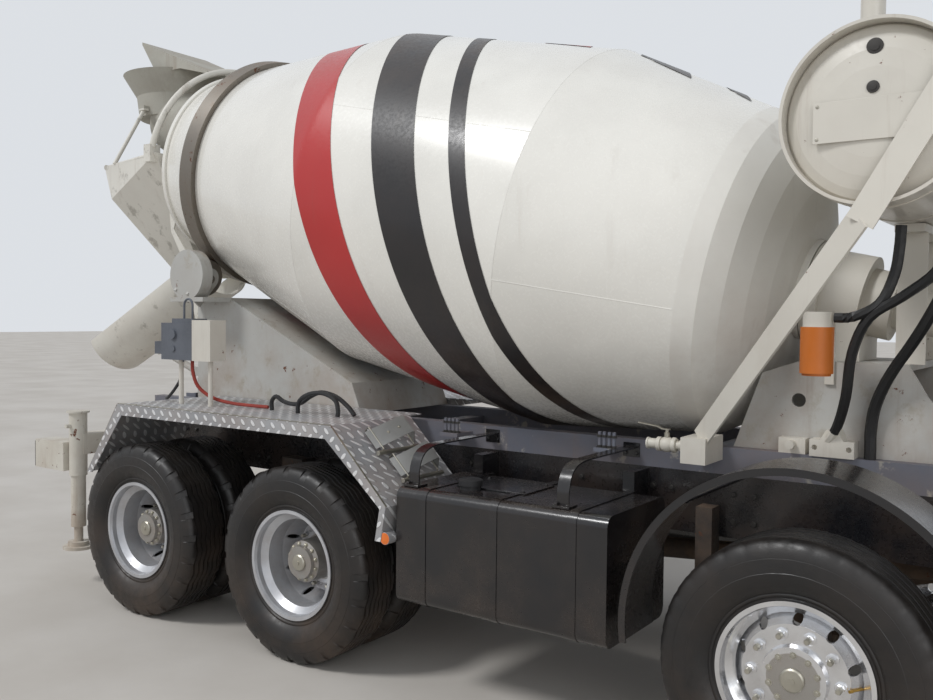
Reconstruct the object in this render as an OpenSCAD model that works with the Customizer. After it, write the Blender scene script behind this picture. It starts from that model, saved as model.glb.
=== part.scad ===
// Concrete mixer truck, 8x4 with twin-steer front axles and a rear discharge drum.
// Frame: +X forward, +Y left, +Z up. Origin on the ground under the middle of the outline box.

/* [Truck] */
// Length from the front bumper to the tip of the discharge chute
overall_len = 9100; // [9000:50:9300]
// Width over the tyres and the rear fenders
overall_w = 2500; // [2450:10:2550]
// Distance of the rearmost axle behind the middle of the truck
rear_axle_back = 2600; // [2550:10:2650]
// Distance between the two driven rear axles
bogie_spread = 1350; // [1300:10:1400]
// Distance between the second steered axle and the first driven axle
axle_gap = 2660; // [2640:10:2700]
// Distance between the two steered axles
steer_spread = 1700; // [1650:10:1800]

/* [Wheels] */
// Radius of a tyre over its tread
tyre_r = 535; // [520:1:545]
// Width of a tyre at its sidewalls
tyre_w = 312; // [290:1:320]
// Radius of the bead seat of a rim
rim_seat_r = 286; // [284:1:288]
// Width of a rim between its flanges
rim_w = 228; // [200:1:240]
// Thickness of rim and disc plate
rim_t = 12; // [8:1:14]
// Distance between the centres of twin tyres
twin_gap = 340; // [335:1:350]
// Number of wheel nuts
nut_count = 10; // [8:1:10]
// Radius of the wheel nut circle
nut_circle_r = 167.5; // [160:0.5:170]

/* [Chassis] */
// Height of the underside of the chassis rails above the ground
rail_z = 850; // [840:5:860]
// Height of a chassis rail
rail_h = 300; // [260:5:320]
// Half of the width over the chassis rails
rail_half_w = 430; // [400:5:450]
// Width of a chassis rail's flange
rail_flange = 80; // [70:1:90]
// Thickness of the chassis rails
rail_t = 9; // [7:1:12]
// Height of the mixer subframe
sub_h = 130; // [110:5:150]
// Thickness of the folded plates of pedestals and fenders
plate_t = 12; // [8:1:16]

/* [Drum] */
// Tilt of the drum's axis
drum_tilt = 12.6; // [12:0.1:13]
// Largest radius of the drum
drum_r = 1055; // [1030:5:1080]
// Length of the drum's cylindrical belly
belly_len = 1390; // [1360:10:1400]
// Length of the rear cone from the belly to the track ring
rear_cone_len = 1220; // [1200:10:1240]
// Radius where the rear cone meets the track ring
ring_seat_r = 765; // [750:5:780]
// Outer radius of the track ring
ring_r = 800; // [790:5:810]
// Width of the track ring
ring_w = 120; // [100:5:130]
// Radius of the neck behind the track ring
neck_r = 722; // [715:1:730]
// Radius of the drum's mouth
mouth_r = 640; // [620:5:650]
// Length of the neck from the track ring to the mouth
neck_len = 380; // [370:5:390]
// Length of the front cone
front_cone_len = 845; // [830:5:850]
// Radius where the front cone meets the dished head
head_r = 840; // [820:5:850]
// Depth of the dished head
head_depth = 340; // [330:5:345]
// Thickness of the drum shell
drum_wall = 8; // [6:1:12]
// Height of the mixing blades inside the drum
blade_h = 180; // [150:10:200]
// Radius of the rollers that carry the track ring
roller_r = 125; // [110:5:130]
// Angle of each roller from straight below the drum's axis
roller_angle = 35; // [33:1:37]

/* [Water tank] */
// Radius of the water tank
tank_r = 335; // [320:5:345]
// Length of the water tank over its dished ends
tank_len = 2340; // [2250:10:2360]

/* [Chute] */
// Radius of the half-round chute
chute_r = 265; // [240:5:280]
// Slope of the chute at rest, below level
chute_slope = 26; // [25:0.5:27]

/* [Cab] */
// Length of the cab
cab_len = 1730; // [1700:10:1740]
// Width of the cab
cab_w = 2400; // [2350:10:2440]
// Height of the cab's roof above the ground
cab_top = 2950; // [2900:10:3000]
// Thickness of the cab's walls and doors
cab_wall = 45; // [35:1:55]
// Gap around each door
door_gap = 6; // [5:1:8]

/* [Hidden] */

// Clearance of seated faces, running clearance of shafts, and clearance of moving panels
seat = 0.3;
run_c = 0.5;
shaft_c = 1;
round_fn = 96;

// Places along the truck
front_x = overall_len / 2;
rear_x = -overall_len / 2;
axle4_x = -rear_axle_back;
axle3_x = axle4_x + bogie_spread;
axle2_x = axle3_x + axle_gap;
axle1_x = axle2_x + steer_spread;
axle_z = tyre_r;
outer_y = overall_w / 2;
wheel_y = outer_y - tyre_w / 2 - 4;

// Chassis and subframe
rail_top = rail_z + rail_h;
sub_top = rail_top + sub_h;
frame_rear_x = axle4_x - 900;
frame_front_x = front_x - 250;
sub_rear_x = axle4_x - 880;
sub_front_x = axle2_x + 590;
rail_in = rail_half_w - rail_t;
sub_in = rail_half_w - rail_flange;

// Drum stations along its axis, from the middle of the belly's reference point
drum_x = axle4_x + 1500;
drum_z = 2538;
belly_s0 = -300;
belly_s1 = belly_s0 + belly_len;
ring_s1 = belly_s0 - rear_cone_len;
ring_s0 = ring_s1 - ring_w;
mouth_s = ring_s0 - neck_len;
head_s = belly_s1 + front_cone_len;
flange_s = head_s + head_depth;
flange_r = 250;
flange_t = 30;
shaft_r = 80;
shaft_len = 130;
roller_dist = ring_r + roller_r + seat;
roller_w = 100;
roller_shaft_r = 30;
roller_s = (ring_s0 + ring_s1) / 2;

// Steering: kingpins, spindles and track rods
kingpin_y = wheel_y - 185;
kingpin_r = 28;
fork_h = 210;
ear_h = 50;
spindle_r = 45;
hub_r = 118;
rear_spindle_r = 60;
arm_back = 200;
arm_pin_r = 12;

// A prism with its outline in X and Z, from y0 to y1
module xz_prism(pts, y0, y1) {
    translate([0, y1, 0]) rotate([90, 0, 0]) linear_extrude(y1 - y0) polygon(pts);
}

// Any flat outline in X and Z, from y0 to y1
module xz_plate(y0, y1) {
    translate([0, y1, 0]) rotate([90, 0, 0]) linear_extrude(y1 - y0) children();
}

// A prism with its outline in Y and Z, from x0 to x1
module yz_prism(pts, x0, x1) {
    translate([x0, 0, 0]) rotate([90, 0, 90]) linear_extrude(x1 - x0) polygon(pts);
}

// Any flat outline in Y and Z, from x0 to x1
module yz_plate(x0, x1) {
    translate([x0, 0, 0]) rotate([90, 0, 90]) linear_extrude(x1 - x0) children();
}

// A box between its low and its high corner
module box(a, b) {
    translate(a) cube([b[0] - a[0], b[1] - a[1], b[2] - a[2]]);
}

// A rod along Y, from y0 to y1, at x and z
module rod_y(x, z, y0, y1, r) {
    translate([x, y1, z]) rotate([90, 0, 0]) cylinder(r = r, h = y1 - y0, $fn = round_fn);
}

// A rod along X, from x0 to x1, at y and z
module rod_x(y, z, x0, x1, r) {
    translate([x0, y, z]) rotate([0, 90, 0]) cylinder(r = r, h = x1 - x0, $fn = round_fn);
}

// An upright rod from z0 to z1, at x and y
module rod_z(x, y, z0, z1, r) {
    translate([x, y, z0]) cylinder(r = r, h = z1 - z0, $fn = round_fn);
}

// A round bar between two points
module bar(a, b, r) {
    d = b - a;
    len = norm(d);
    translate(a) rotate([0, acos(d[2] / len), atan2(d[1], d[0])]) cylinder(r = r, h = len, $fn = 32);
}

// A flat bar between two points, w wide and t thick
module flat_bar(a, b, w, t) {
    d = b - a;
    len = norm(d);
    translate(a) rotate([0, acos(d[2] / len), atan2(d[1], d[0])]) translate([-w / 2, -t / 2, 0]) cube([w,
        t, len]);
}

// A rectangle with round corners, from its low to its high corner
module round_rect(a, b, r) {
    translate([a[0] + r, a[1]]) square([b[0] - a[0] - 2 * r, b[1] - a[1]]);
    translate([a[0], a[1] + r]) square([b[0] - a[0], b[1] - a[1] - 2 * r]);
    for (x = [a[0] + r, b[0] - r], y = [a[1] + r, b[1] - r]) translate([x, y]) circle(r = r, $fn = 48);
}

// Both sides of the truck
module both_sides() {
    children();
    mirror([0, 1, 0]) children();
}

// The right side, drawn on the left
module right_side() {
    mirror([0, 1, 0]) children();
}

// A smooth path through points, and a hose along it; ref is any direction that the hose never runs in
function smooth(p) = let(n = len(p) - 1, q = concat([2 * p[0] - p[1]], p, [2 * p[n] - p[n - 1]]))
    concat([for (i = [1 : n], k = [0 : hose_steps - 1]) let(t = k / hose_steps)
        (2 * q[i] + (q[i + 1] - q[i - 1]) * t + (2 * q[i - 1] - 5 * q[i] + 4 * q[i + 1] - q[i + 2]) * t * t
            + (3 * q[i] - q[i - 1] - 3 * q[i + 1] + q[i + 2]) * t * t * t) / 2], [p[n]]);
function unit(v) = v / norm(v);
hose_steps = 4;
hose_sides = 8;
module hose(points, r, ref) {
    p = smooth(points);
    m = len(p) - 1;
    n = hose_sides;
    rings = [for (i = [0 : m]) let(t = unit(p[min(i + 1, m)] - p[max(i - 1, 0)]), a = unit(cross(t,
        ref)), b = cross(t, a))
        for (k = [0 : n - 1]) p[i] + r * (cos(360 / n * k) * a + sin(360 / n * k) * b)];
    sides = [for (i = [0 : m - 1], k = [0 : n - 1]) let(j = (k + 1) % n) each [[i * n + k,
        (i + 1) * n + k, i * n + j], [i * n + j, (i + 1) * n + k, (i + 1) * n + j]]];
    polyhedron(points = rings, faces = concat(sides, [[for (k = [0 : n - 1]) k]],
        [[for (k = [n - 1 : -1 : 0]) m * n + k]]));
}

// Puts a child in the drum's own axes: Z along the axis to the front, X down
module on_drum_axis() {
    translate([drum_x, 0, drum_z]) rotate([0, 90 + drum_tilt, 0]) children();
}

// Points on an arc
function arc(c, r, a0, a1, n) = [for (i = [0 : n]) c + r * [cos(a0 + (a1 - a0) * i / n),
    sin(a0 + (a1 - a0) * i / n)]];

// A body of revolution around a wheel's axis, from points of radius and distance outboard
module spun(pts) {
    rotate([-90, 0, 0]) rotate_extrude($fn = round_fn) polygon(pts);
}

// Section of a tyre: radius and distance from its middle
module tyre() {
    half = tyre_w / 2;
    bead = rim_w / 2 - 1;
    seat_r = rim_seat_r + seat;
    outer = [[seat_r, bead], [seat_r + 22, bead + 1], [seat_r + 60, half - 12], [seat_r + 110, half],
        [tyre_r - 90, half - 4], [tyre_r - 38, half - 16], [tyre_r - 10, half - 34], [tyre_r, half - 62]];
    inner = [[tyre_r - 34, half - 70], [tyre_r - 62, half - 38], [seat_r + 112, half - 24], [seat_r + 58,
        half - 40],
        [seat_r + 18, bead - 24], [seat_r, bead - 36]];
    n = len(outer) - 1;
    m = len(inner) - 1;
    spun(concat(outer, [for (i = [n : -1 : 0]) [outer[i][0], -outer[i][1]]],
        [for (i = [m : -1 : 0]) [inner[i][0], -inner[i][1]]], inner));
}

// Rim: flanges, bead seats and well
rim_well = 34;
module rim() {
    half = rim_w / 2;
    lip = 12.5;
    lip_t = 10;
    low = rim_seat_r - rim_t;
    upper = [[rim_seat_r, half - 40], [rim_seat_r, half], [rim_seat_r + lip, half + 3],
        [rim_seat_r + lip, half + lip_t],
        [rim_seat_r - 6, half + lip_t], [low, half - 6], [low, half - 34], [low - rim_well, half - 62]];
    spun(concat([[rim_seat_r - rim_well, half - 68]], upper, [for (i = [7 : -1 : 0]) [upper[i][0],
        -upper[i][1]]],
        [[rim_seat_r - rim_well, -half + 68]]));
}

// Round holes in a wheel's disc
module disc_holes(count, r, hole_r, y0, y1) {
    for (i = [0 : count - 1])
        rotate([0, 360 / count * (i + 0.5), 0])
            translate([r, y0, 0]) rotate([-90, 0, 0]) cylinder(r = hole_r, h = y1 - y0, $fn = 32);
}

// Nuts around a wheel's centre
module nuts(y0, h) {
    for (i = [0 : nut_count - 1])
        rotate([0, 360 / nut_count * i, 0])
            translate([nut_circle_r, y0, 0]) rotate([-90, 0, 0]) cylinder(r = 17, h = h, $fn = 6);
}

// Rim of a steered wheel, outboard towards +Y: bowed disc with hand holes, nuts and hub
module steered_rim() {
    well_r = rim_seat_r - rim_well - rim_t + 1;
    face = rim_w / 2 - 34;
    color([0.72, 0.73, 0.75]) difference() {
        union() {
            rim();
            spun([[0, face - 14], [130, face - 14], [140, face - 4], [196, face - 4], [well_r, 18],
                [well_r, 18 + rim_t], [203, face + rim_t - 6], [128, face + rim_t - 6], [122, face + 34],
                    [0, face + 40]]);
            nuts(face + rim_t - 10, 30);
            spun([[0, -60], [hub_r, -60], [hub_r, face - 10], [0, face - 10]]);
        }
        disc_holes(nut_count, 219, 19, -20, face + 60);
        spun([[0, -71], [spindle_r + shaft_c, -71], [spindle_r + shaft_c, 50], [0, 50]]);
    }
}

// Rims of twin wheels, outboard towards +Y: back to back on one hub
module twin_rims() {
    out_y = twin_gap / 2;
    well_r = rim_seat_r - rim_well - rim_t + 1;
    color([0.72, 0.73, 0.75]) difference() {
        union() {
            for (s = [-1, 1]) translate([0, s * out_y, 0]) rim();
            spun([[90, -rim_t], [204, -rim_t], [well_r, -out_y + 50], [well_r, -out_y + 50 + rim_t], [212, 0],
                [well_r, out_y - 50 - rim_t], [well_r, out_y - 50], [204, rim_t], [90, rim_t]]);
            nuts(rim_t - 2, 34);
            spun([[0, -160], [hub_r, -160], [hub_r, 20], [150, 22], [150, 44], [hub_r, 50], [hub_r - 4,
                190], [92, 200],
                [88, 222], [0, 224]]);
        }
        disc_holes(8, 224, 15, -200, 200);
        spun([[0, -161], [rear_spindle_r + shaft_c, -161], [rear_spindle_r + shaft_c, 70], [0, 70]]);
    }
}
module twin_tyres() {
    for (s = [-1, 1]) translate([0, s * twin_gap / 2, 0]) tyre();
}

// Puts a child at an axle; side is 1 on the left and -1 on the right
module at_axle(x, y, side) {
    translate([x, side * y, axle_z]) mirror([0, side < 0 ? 1 : 0, 0]) children();
}
twin_y = wheel_y - twin_gap / 2;
tyre_color = [0.06, 0.06, 0.06];
module rim_1_left() { at_axle(axle1_x, wheel_y, 1) steered_rim(); }
module rim_1_right() { at_axle(axle1_x, wheel_y, -1) steered_rim(); }
module rim_2_left() { at_axle(axle2_x, wheel_y, 1) steered_rim(); }
module rim_2_right() { at_axle(axle2_x, wheel_y, -1) steered_rim(); }
module rims_3_left() { at_axle(axle3_x, twin_y, 1) twin_rims(); }
module rims_3_right() { at_axle(axle3_x, twin_y, -1) twin_rims(); }
module rims_4_left() { at_axle(axle4_x, twin_y, 1) twin_rims(); }
module rims_4_right() { at_axle(axle4_x, twin_y, -1) twin_rims(); }
module tyre_1_left() { color(tyre_color) at_axle(axle1_x, wheel_y, 1) tyre(); }
module tyre_1_right() { color(tyre_color) at_axle(axle1_x, wheel_y, -1) tyre(); }
module tyre_2_left() { color(tyre_color) at_axle(axle2_x, wheel_y, 1) tyre(); }
module tyre_2_right() { color(tyre_color) at_axle(axle2_x, wheel_y, -1) tyre(); }
module tyres_3_left() { color(tyre_color) at_axle(axle3_x, twin_y, 1) twin_tyres(); }
module tyres_3_right() { color(tyre_color) at_axle(axle3_x, twin_y, -1) twin_tyres(); }
module tyres_4_left() { color(tyre_color) at_axle(axle4_x, twin_y, 1) twin_tyres(); }
module tyres_4_right() { color(tyre_color) at_axle(axle4_x, twin_y, -1) twin_tyres(); }

// Steering knuckles, outboard towards +Y: fork on the kingpin, spindle and steering arm
arm_z = -fork_h / 2 + 2;
rod_eye_h = 30;
rod_z = arm_z - 5 - rod_eye_h / 2;
module knuckle() {
    stub = wheel_y - kingpin_y;
    color([0.12, 0.12, 0.13]) difference() {
        union() {
            box([-55, -50, -fork_h / 2], [55, 70, fork_h / 2]);
            rod_y(0, 0, 60, stub - 60 - run_c, 95);
            rod_y(0, 0, 40, stub + 48, spindle_r);
            box([-arm_back - 24, -22, arm_z], [-50, 40, arm_z + 36]);
            rod_z(-arm_back, 0, rod_z - rod_eye_h / 2 - 12, arm_z + 10, arm_pin_r);
        }
        box([-90, -100, -fork_h / 2 + ear_h], [90, 54, fork_h / 2 - ear_h]);
        rod_z(0, 0, -fork_h / 2 - 1, fork_h / 2 + 1, kingpin_r + run_c);
    }
}
module knuckle_1_left() { at_axle(axle1_x, kingpin_y, 1) knuckle(); }
module knuckle_1_right() { at_axle(axle1_x, kingpin_y, -1) knuckle(); }
module knuckle_2_left() { at_axle(axle2_x, kingpin_y, 1) knuckle(); }
module knuckle_2_right() { at_axle(axle2_x, kingpin_y, -1) knuckle(); }

// Track rods: an eye on each knuckle's arm pin
module track_rod(x) {
    eye_y = kingpin_y;
    color([0.12, 0.12, 0.13]) translate([x - arm_back, 0, axle_z + rod_z]) difference() {
        union() {
            rod_y(0, 0, -eye_y + 18, eye_y - 18, 15);
            both_sides() rod_z(0, eye_y, -rod_eye_h / 2, rod_eye_h / 2, 26);
        }
        both_sides() rod_z(0, eye_y, -rod_eye_h, rod_eye_h, arm_pin_r + run_c);
    }
}
module track_rod_1() { track_rod(axle1_x); }
module track_rod_2() { track_rod(axle2_x); }

// Steered axles: dropped beam with its kingpins
beam_top = axle_z - 85;
module steered_axle(x) {
    eye_h = fork_h - 2 * ear_h - 1;
    low = beam_top - 90;
    both_sides() {
        rod_z(x, kingpin_y, axle_z - eye_h / 2, axle_z + eye_h / 2, 50);
        rod_z(x, kingpin_y, axle_z - fork_h / 2, axle_z + fork_h / 2, kingpin_r);
    }
    flat = rail_half_w + 110;
    half = concat([[flat, low], [kingpin_y - 160, axle_z - 40], [kingpin_y - 30, axle_z - 40]],
        [[kingpin_y - 30, axle_z + 40], [kingpin_y - 200, axle_z + 40], [flat, beam_top]]);
    yz_prism(concat(half, [for (i = [5 : -1 : 0]) [-half[i][0], half[i][1]]]), x - 45, x + 45);
}
module front_axles() {
    color([0.12, 0.12, 0.13]) {
        steered_axle(axle1_x);
        steered_axle(axle2_x);
    }
}

// Driven axles: tube, differential housing, brake plates and spindles
axle_tube_r = 80;
module driven_axle(x) {
    both_sides() {
        rod_y(x, axle_z, 0, twin_y - 160 - run_c, axle_tube_r);
        rod_y(x, axle_z, twin_y - 170, twin_y + 68, rear_spindle_r);
        rod_y(x, axle_z, twin_y - 300, twin_y - 240, 190);
    }
    rod_y(x, axle_z, -120, 120, 225);
    rod_x(0, axle_z + 20, x, x + 380, 100);
}
module rear_axles() {
    color([0.12, 0.12, 0.13]) {
        driven_axle(axle3_x);
        driven_axle(axle4_x);
    }
}

// Leaf springs: stacked leaves, shackle brackets on the rails and seats on the axles
spring_y0 = rail_half_w + 10;
spring_w = 90;
leaf_t = 16;
module leaf_pack(x, half_len, end_z, mid_z, leaves) {
    for (i = [0 : leaves - 1]) {
        reach = half_len * (1 - i / (leaves + 1));
        z = mid_z - i * leaf_t;
        rise = (end_z - mid_z) * reach / half_len;
        xz_prism([[x - reach, z + rise], [x - 70, z], [x + 70, z], [x + reach, z + rise], [x + reach,
            z + rise + leaf_t],
            [x + 70, z + leaf_t], [x - 70, z + leaf_t], [x - reach, z + rise + leaf_t]], spring_y0,
                spring_y0 + spring_w);
    }
}
module leaf_springs() {
    color([0.12, 0.12, 0.13]) both_sides() {
        for (x = [axle1_x, axle2_x]) {
            leaf_pack(x, 640, 700, 560, 4);
            for (e = [-1, 1])
                box([x + e * 610 - 40, rail_half_w + seat, 690], [x + e * 610 + 40, spring_y0 + spring_w,
                    rail_z + 150]);
            box([x - 65, spring_y0, beam_top + seat], [x + 65, spring_y0 + spring_w, 570]);
        }
        bogie_x = (axle3_x + axle4_x) / 2;
        reach = bogie_spread / 2 + 60;
        leaf_pack(bogie_x, reach, 670, 770, 5);
        for (e = [-1, 1])
            box([bogie_x + e * bogie_spread / 2 - 50, spring_y0, axle_z + axle_tube_r + seat],
                [bogie_x + e * bogie_spread / 2 + 50, spring_y0 + spring_w, 690]);
        box([bogie_x - 90, rail_half_w + seat, 560], [bogie_x + 90, spring_y0 + spring_w + 10, rail_z + 120]);
    }
}

// Engine and gearbox as plain blocks, propeller shafts and silencer
engine_x1 = frame_front_x - 380;
engine_x0 = engine_x1 - 1300;
gear_x0 = engine_x0 - 660;
module powertrain() {
    nose_x = axle3_x + 380;
    nose_z = axle_z + 20;
    color([0.2, 0.2, 0.21]) {
        box([engine_x0, -330, 690], [engine_x1, 330, 1380]);
        box([gear_x0, -190, 620], [engine_x0 + 1, 190, 1000]);
        rod_x(0, 760, gear_x0 - 60, gear_x0 + 1, 75);
        bar([gear_x0 - 30, 0, 760], [nose_x + 40, 0, nose_z], 55);
        rod_x(0, nose_z, nose_x + seat, nose_x + 70, 75);
        rod_x(0, nose_z, axle4_x + 380 + seat, axle3_x - 225 - seat - 20, 55);
    }
}

// Chassis rails with cross members, cab hinge brackets and rear cab rests
cross_xs = [axle4_x + 300, axle3_x - 250, axle3_x + 700, axle2_x - 450, axle2_x + 420, frame_front_x - 60];
hinge_x = front_x - 130;
hinge_z = rail_z + 50;
hinge_y = 380;
hinge_pin_r = 20;
cab_back = front_x - 70 - cab_len;
cab_front = front_x - 70;
cab_floor_z = rail_top + 130;
module chassis_rail() {
    yz_prism([[sub_in, rail_z], [rail_half_w, rail_z], [rail_half_w, rail_top], [sub_in, rail_top],
        [sub_in, rail_top - rail_t], [rail_in, rail_top - rail_t], [rail_in, rail_z + rail_t], [sub_in,
            rail_z + rail_t]],
        frame_rear_x, frame_front_x);
}
module chassis_frame() {
    color([0.05, 0.05, 0.06]) {
        both_sides() {
            chassis_rail();
            for (y = [hinge_y - 45, hinge_y + 25]) {
                box([frame_front_x - 100, y, hinge_z - 28], [hinge_x, y + 20, hinge_z + 28]);
                rod_y(hinge_x, hinge_z, y, y + 20, 28);
            }
            rod_y(hinge_x, hinge_z, hinge_y - 45, hinge_y + 45, hinge_pin_r);
            box([cab_back + 50, rail_half_w - 50, rail_top - 1], [cab_back + 150, rail_half_w + 110,
                cab_floor_z - seat]);
        }
        for (x = cross_xs) box([x - 50, -rail_in - 1, rail_z + 20], [x + 50, rail_in + 1, rail_z + 110]);
    }
}

// Mixer subframe: two box rails and low cross members that the drum's belly clears
module subframe() {
    color([0.55, 0.56, 0.6]) {
        both_sides() {
            box([sub_rear_x, sub_in, rail_top + seat], [sub_front_x, rail_half_w, sub_top]);
            for (x = [axle3_x + 590, axle2_x - 1110]) {
                box([x - 60, rail_half_w - 1, sub_top - 60], [x + 60, rail_half_w + 150, sub_top - 40]);
                for (dx = [-40, -14, 14, 40]) rod_z(x + dx, rail_half_w + 120, sub_top - 41, sub_top + 40, 9);
            }
        }
        for (x = [axle3_x + 150, axle2_x - 700, sub_front_x - 50])
            box([x - 50, -sub_in - 1, rail_top + 20], [x + 50, sub_in + 1, sub_top - 50]);
        // Socket of the chute's turret on the rear cross member
        difference() {
            union() {
                box([swing_x - 55, -sub_in - 1, rail_top + 20], [swing_x + 55, sub_in + 1, sub_top - 50]);
                rod_z(swing_x, 0, sub_top - 51, turret_z0 + 5 - seat, 66);
                for (y = [-150, 138]) box([swing_x - 55, y, sub_top - 51], [swing_x + 55, y + 12, sub_top]);
                box([swing_x - 6, -150, sub_top - 51], [swing_x + 6, 150, sub_top]);
            }
            rod_z(swing_x, 0, turret_z0 - turret_shaft - 10, turret_z0 + 20, 40 + run_c);
        }
    }
}

// Rear fenders: folded tread plate over each bogie, on brackets from the rails
fender_z = axle_z + 785;
fender_in_y = rail_half_w + 30;
fender_lip = 70;
fender_t = 8;
fender_x0 = axle4_x - 140;
fender_x1 = axle3_x + 325;
module rear_fender() {
    x0 = fender_x0;
    x1 = fender_x1;
    t = fender_t;
    tail = [x0 - 330, fender_z - 460];
    knee = [x1 + 378, fender_z - 375];
    foot = [x1 + 347, fender_z - 550];
    wheel_in_y = twin_y - twin_gap / 2 - tyre_w / 2;
    xz_prism([tail, [x0, fender_z], [x1, fender_z], knee, foot, foot - [t, 0], knee - [t + 2, 2],
        [x1 - 5, fender_z - t],
        [x0 + 5, fender_z - t], tail + [t + 2, 0]], wheel_in_y, outer_y);
    box([x0 + 20, fender_in_y, fender_z - t], [x1 - 20, wheel_in_y + 1, fender_z]);
    xz_prism([tail, [x0, fender_z], [x1, fender_z], knee, foot, foot - [40, 0], knee - [42, 12],
        [x1 - 36, fender_z - fender_lip], [x0 + 40, fender_z - fender_lip], tail + [50, 0]], outer_y - t,
            outer_y);
    for (x = [x0 + 500, x1 - 500]) {
        box([x - 25, rail_half_w + seat, sub_top - 60], [x + 25, fender_in_y + 10, sub_top - 4]);
        box([x - 25, fender_in_y, fender_z - t - 50], [x + 25, outer_y - 100, fender_z - t + 1]);
    }
    rod_y(knee[0] - 8, fender_z - 530, outer_y - 60, outer_y - 1, 30);
}
module rear_fenders() {
    color([0.7, 0.71, 0.73]) both_sides() rear_fender();
}

// Half-round mudguards of the steered wheels, on tubes from the rails, and the cab steps
guard_y0 = wheel_y - tyre_w / 2 - 14;
module arched(r, t, a0, a1) {
    difference() {
        circle(r = r, $fn = round_fn);
        circle(r = r - t, $fn = round_fn);
        polygon([[0, 0], 2 * r * [cos(a0), sin(a0)], [2 * r, -2 * r], [-2 * r, -2 * r], 2 * r * [cos(a1),
            sin(a1)]]);
    }
}
module mudguard(x, z, r, a0, a1, y1) {
    t = 6;
    lip = 30;
    translate([x, 0, z]) {
        xz_plate(guard_y0, y1) arched(r, t, a0, a1);
        xz_plate(y1 - t, y1) arched(r, lip, a0, a1);
        for (a = [50, 130])
            rod_y((r - t - 13) * cos(a), (r - t - 13) * sin(a), rail_half_w + seat, y1 - 60, 14);
    }
}
step_x = axle1_x + 770;
guard1_r = 690;
guard1_z = axle_z + 25;
guard2_r = 700;
guard2_z = axle_z + 105;
module mudguards() {
    color([0.05, 0.05, 0.06]) both_sides() {
        mudguard(axle1_x, guard1_z, guard1_r, -4, 184, cab_w / 2 + 20);
        mudguard(axle2_x, guard2_z, guard2_r, -8, 188, outer_y);
        box([step_x, guard_y0 + 60, bumper_z1 + seat], [step_x + 380, cab_w / 2 - 10, bumper_z1 + 40]);
        box([step_x + 150, rail_half_w + seat, bumper_z1 + seat], [step_x + 230, guard_y0 + 61,
            bumper_z1 + 40]);
    }
}

// Fuel tank on the right, battery box and silencer on the left
side_x0 = axle3_x + 730;
side_x1 = side_x0 + 1150;
side_y0 = rail_half_w + 160;
side_y1 = outer_y - 50;
module rounded_box(x0, x1, z0, z1) {
    yz_plate(x0, x1) round_rect([side_y0, z0], [side_y1, z1], 50);
}
module straps(x0, x1, z1, top) {
    for (x = [x0, x1])
        box([x, rail_half_w + seat, z1 - 40], [x + 60, side_y0 + 1, top]);
}
module side_tanks() {
    color([0.04, 0.04, 0.05]) {
        right_side() {
            rounded_box(side_x0, side_x1, axle_z - 65, axle_z + 510);
            straps(side_x0 + 40, side_x1 - 220, axle_z + 500, rail_top - 10);
        }
        rounded_box(side_x0 + 600, side_x1, axle_z - 5, axle_z + 440);
        straps(side_x0 + 640, side_x1 - 100, axle_z + 400, rail_top - 10);
        rod_x((side_y0 + side_y1) / 2, axle_z + 220, side_x0, side_x0 + 560, 230);
        straps(side_x0 + 80, side_x0 + 420, axle_z + 330, rail_top - 10);
        for (x = [side_x0 + 80, side_x0 + 420]) box([x, side_y0, axle_z + 300], [x + 60, side_y0 + 160,
            axle_z + 360]);
    }
}

// Rear beam with the stabilizer sleeves, lamp boxes and tow clevis
beam_x1 = frame_rear_x - seat;
beam_x0 = beam_x1 - 130;
leg_x = (beam_x0 + beam_x1) / 2;
leg_y = outer_y - 250;
leg_r = 50;
sleeve_t = 9;
sleeve_z0 = rail_z - 100;
sleeve_z1 = rail_z + 340;
tow_z = rail_z + 120;
module rear_beam() {
    color([0.86, 0.86, 0.83]) {
        difference() {
            union() {
                box([beam_x0, -leg_y, rail_z + 50], [beam_x1, leg_y, rail_z + 190]);
                both_sides() {
                    rod_z(leg_x, leg_y, sleeve_z0, sleeve_z1, leg_r + shaft_c + sleeve_t);
                    rod_y(leg_x, sleeve_z1 - 90, leg_y + leg_r, leg_y + leg_r + 45, 14);
                    rod_z(leg_x, leg_y, sleeve_z1 - 1, sleeve_z1 + 12, 76);
                }
                for (z = [tow_z - 50, tow_z + 25]) box([beam_x0 - 110, -60, z], [beam_x0 + 1, 60, z + 25]);
            }
            both_sides() rod_z(leg_x, leg_y, sleeve_z0 - 1, sleeve_z1 - 10, leg_r + shaft_c);
            rod_z(beam_x0 - 60, 0, tow_z - 60, tow_z + 60, 20);
        }
        both_sides() {
            box([beam_x0 - 340, leg_y - 80, rail_z - 70], [leg_x - 55, leg_y + 80, rail_z + 130]);
            rod_y(leg_x, sleeve_z1 - 90, leg_y + leg_r + seat, leg_y + leg_r + 8, 12);
        }
    }
}
foot_z = 235;
module stabilizer_leg() {
    rod_z(leg_x, leg_y, foot_z, foot_z + 20, 105);
    rod_z(leg_x, leg_y, foot_z + 19, foot_z + 50, 70);
    rod_z(leg_x, leg_y, foot_z + 49, 391, 30);
    rod_z(leg_x, leg_y, 390, sleeve_z1 - 50, leg_r);
}
module stabilizer_leg_left() { color([0.8, 0.8, 0.78]) stabilizer_leg(); }
module stabilizer_leg_right() { color([0.8, 0.8, 0.78]) right_side() stabilizer_leg(); }

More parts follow.
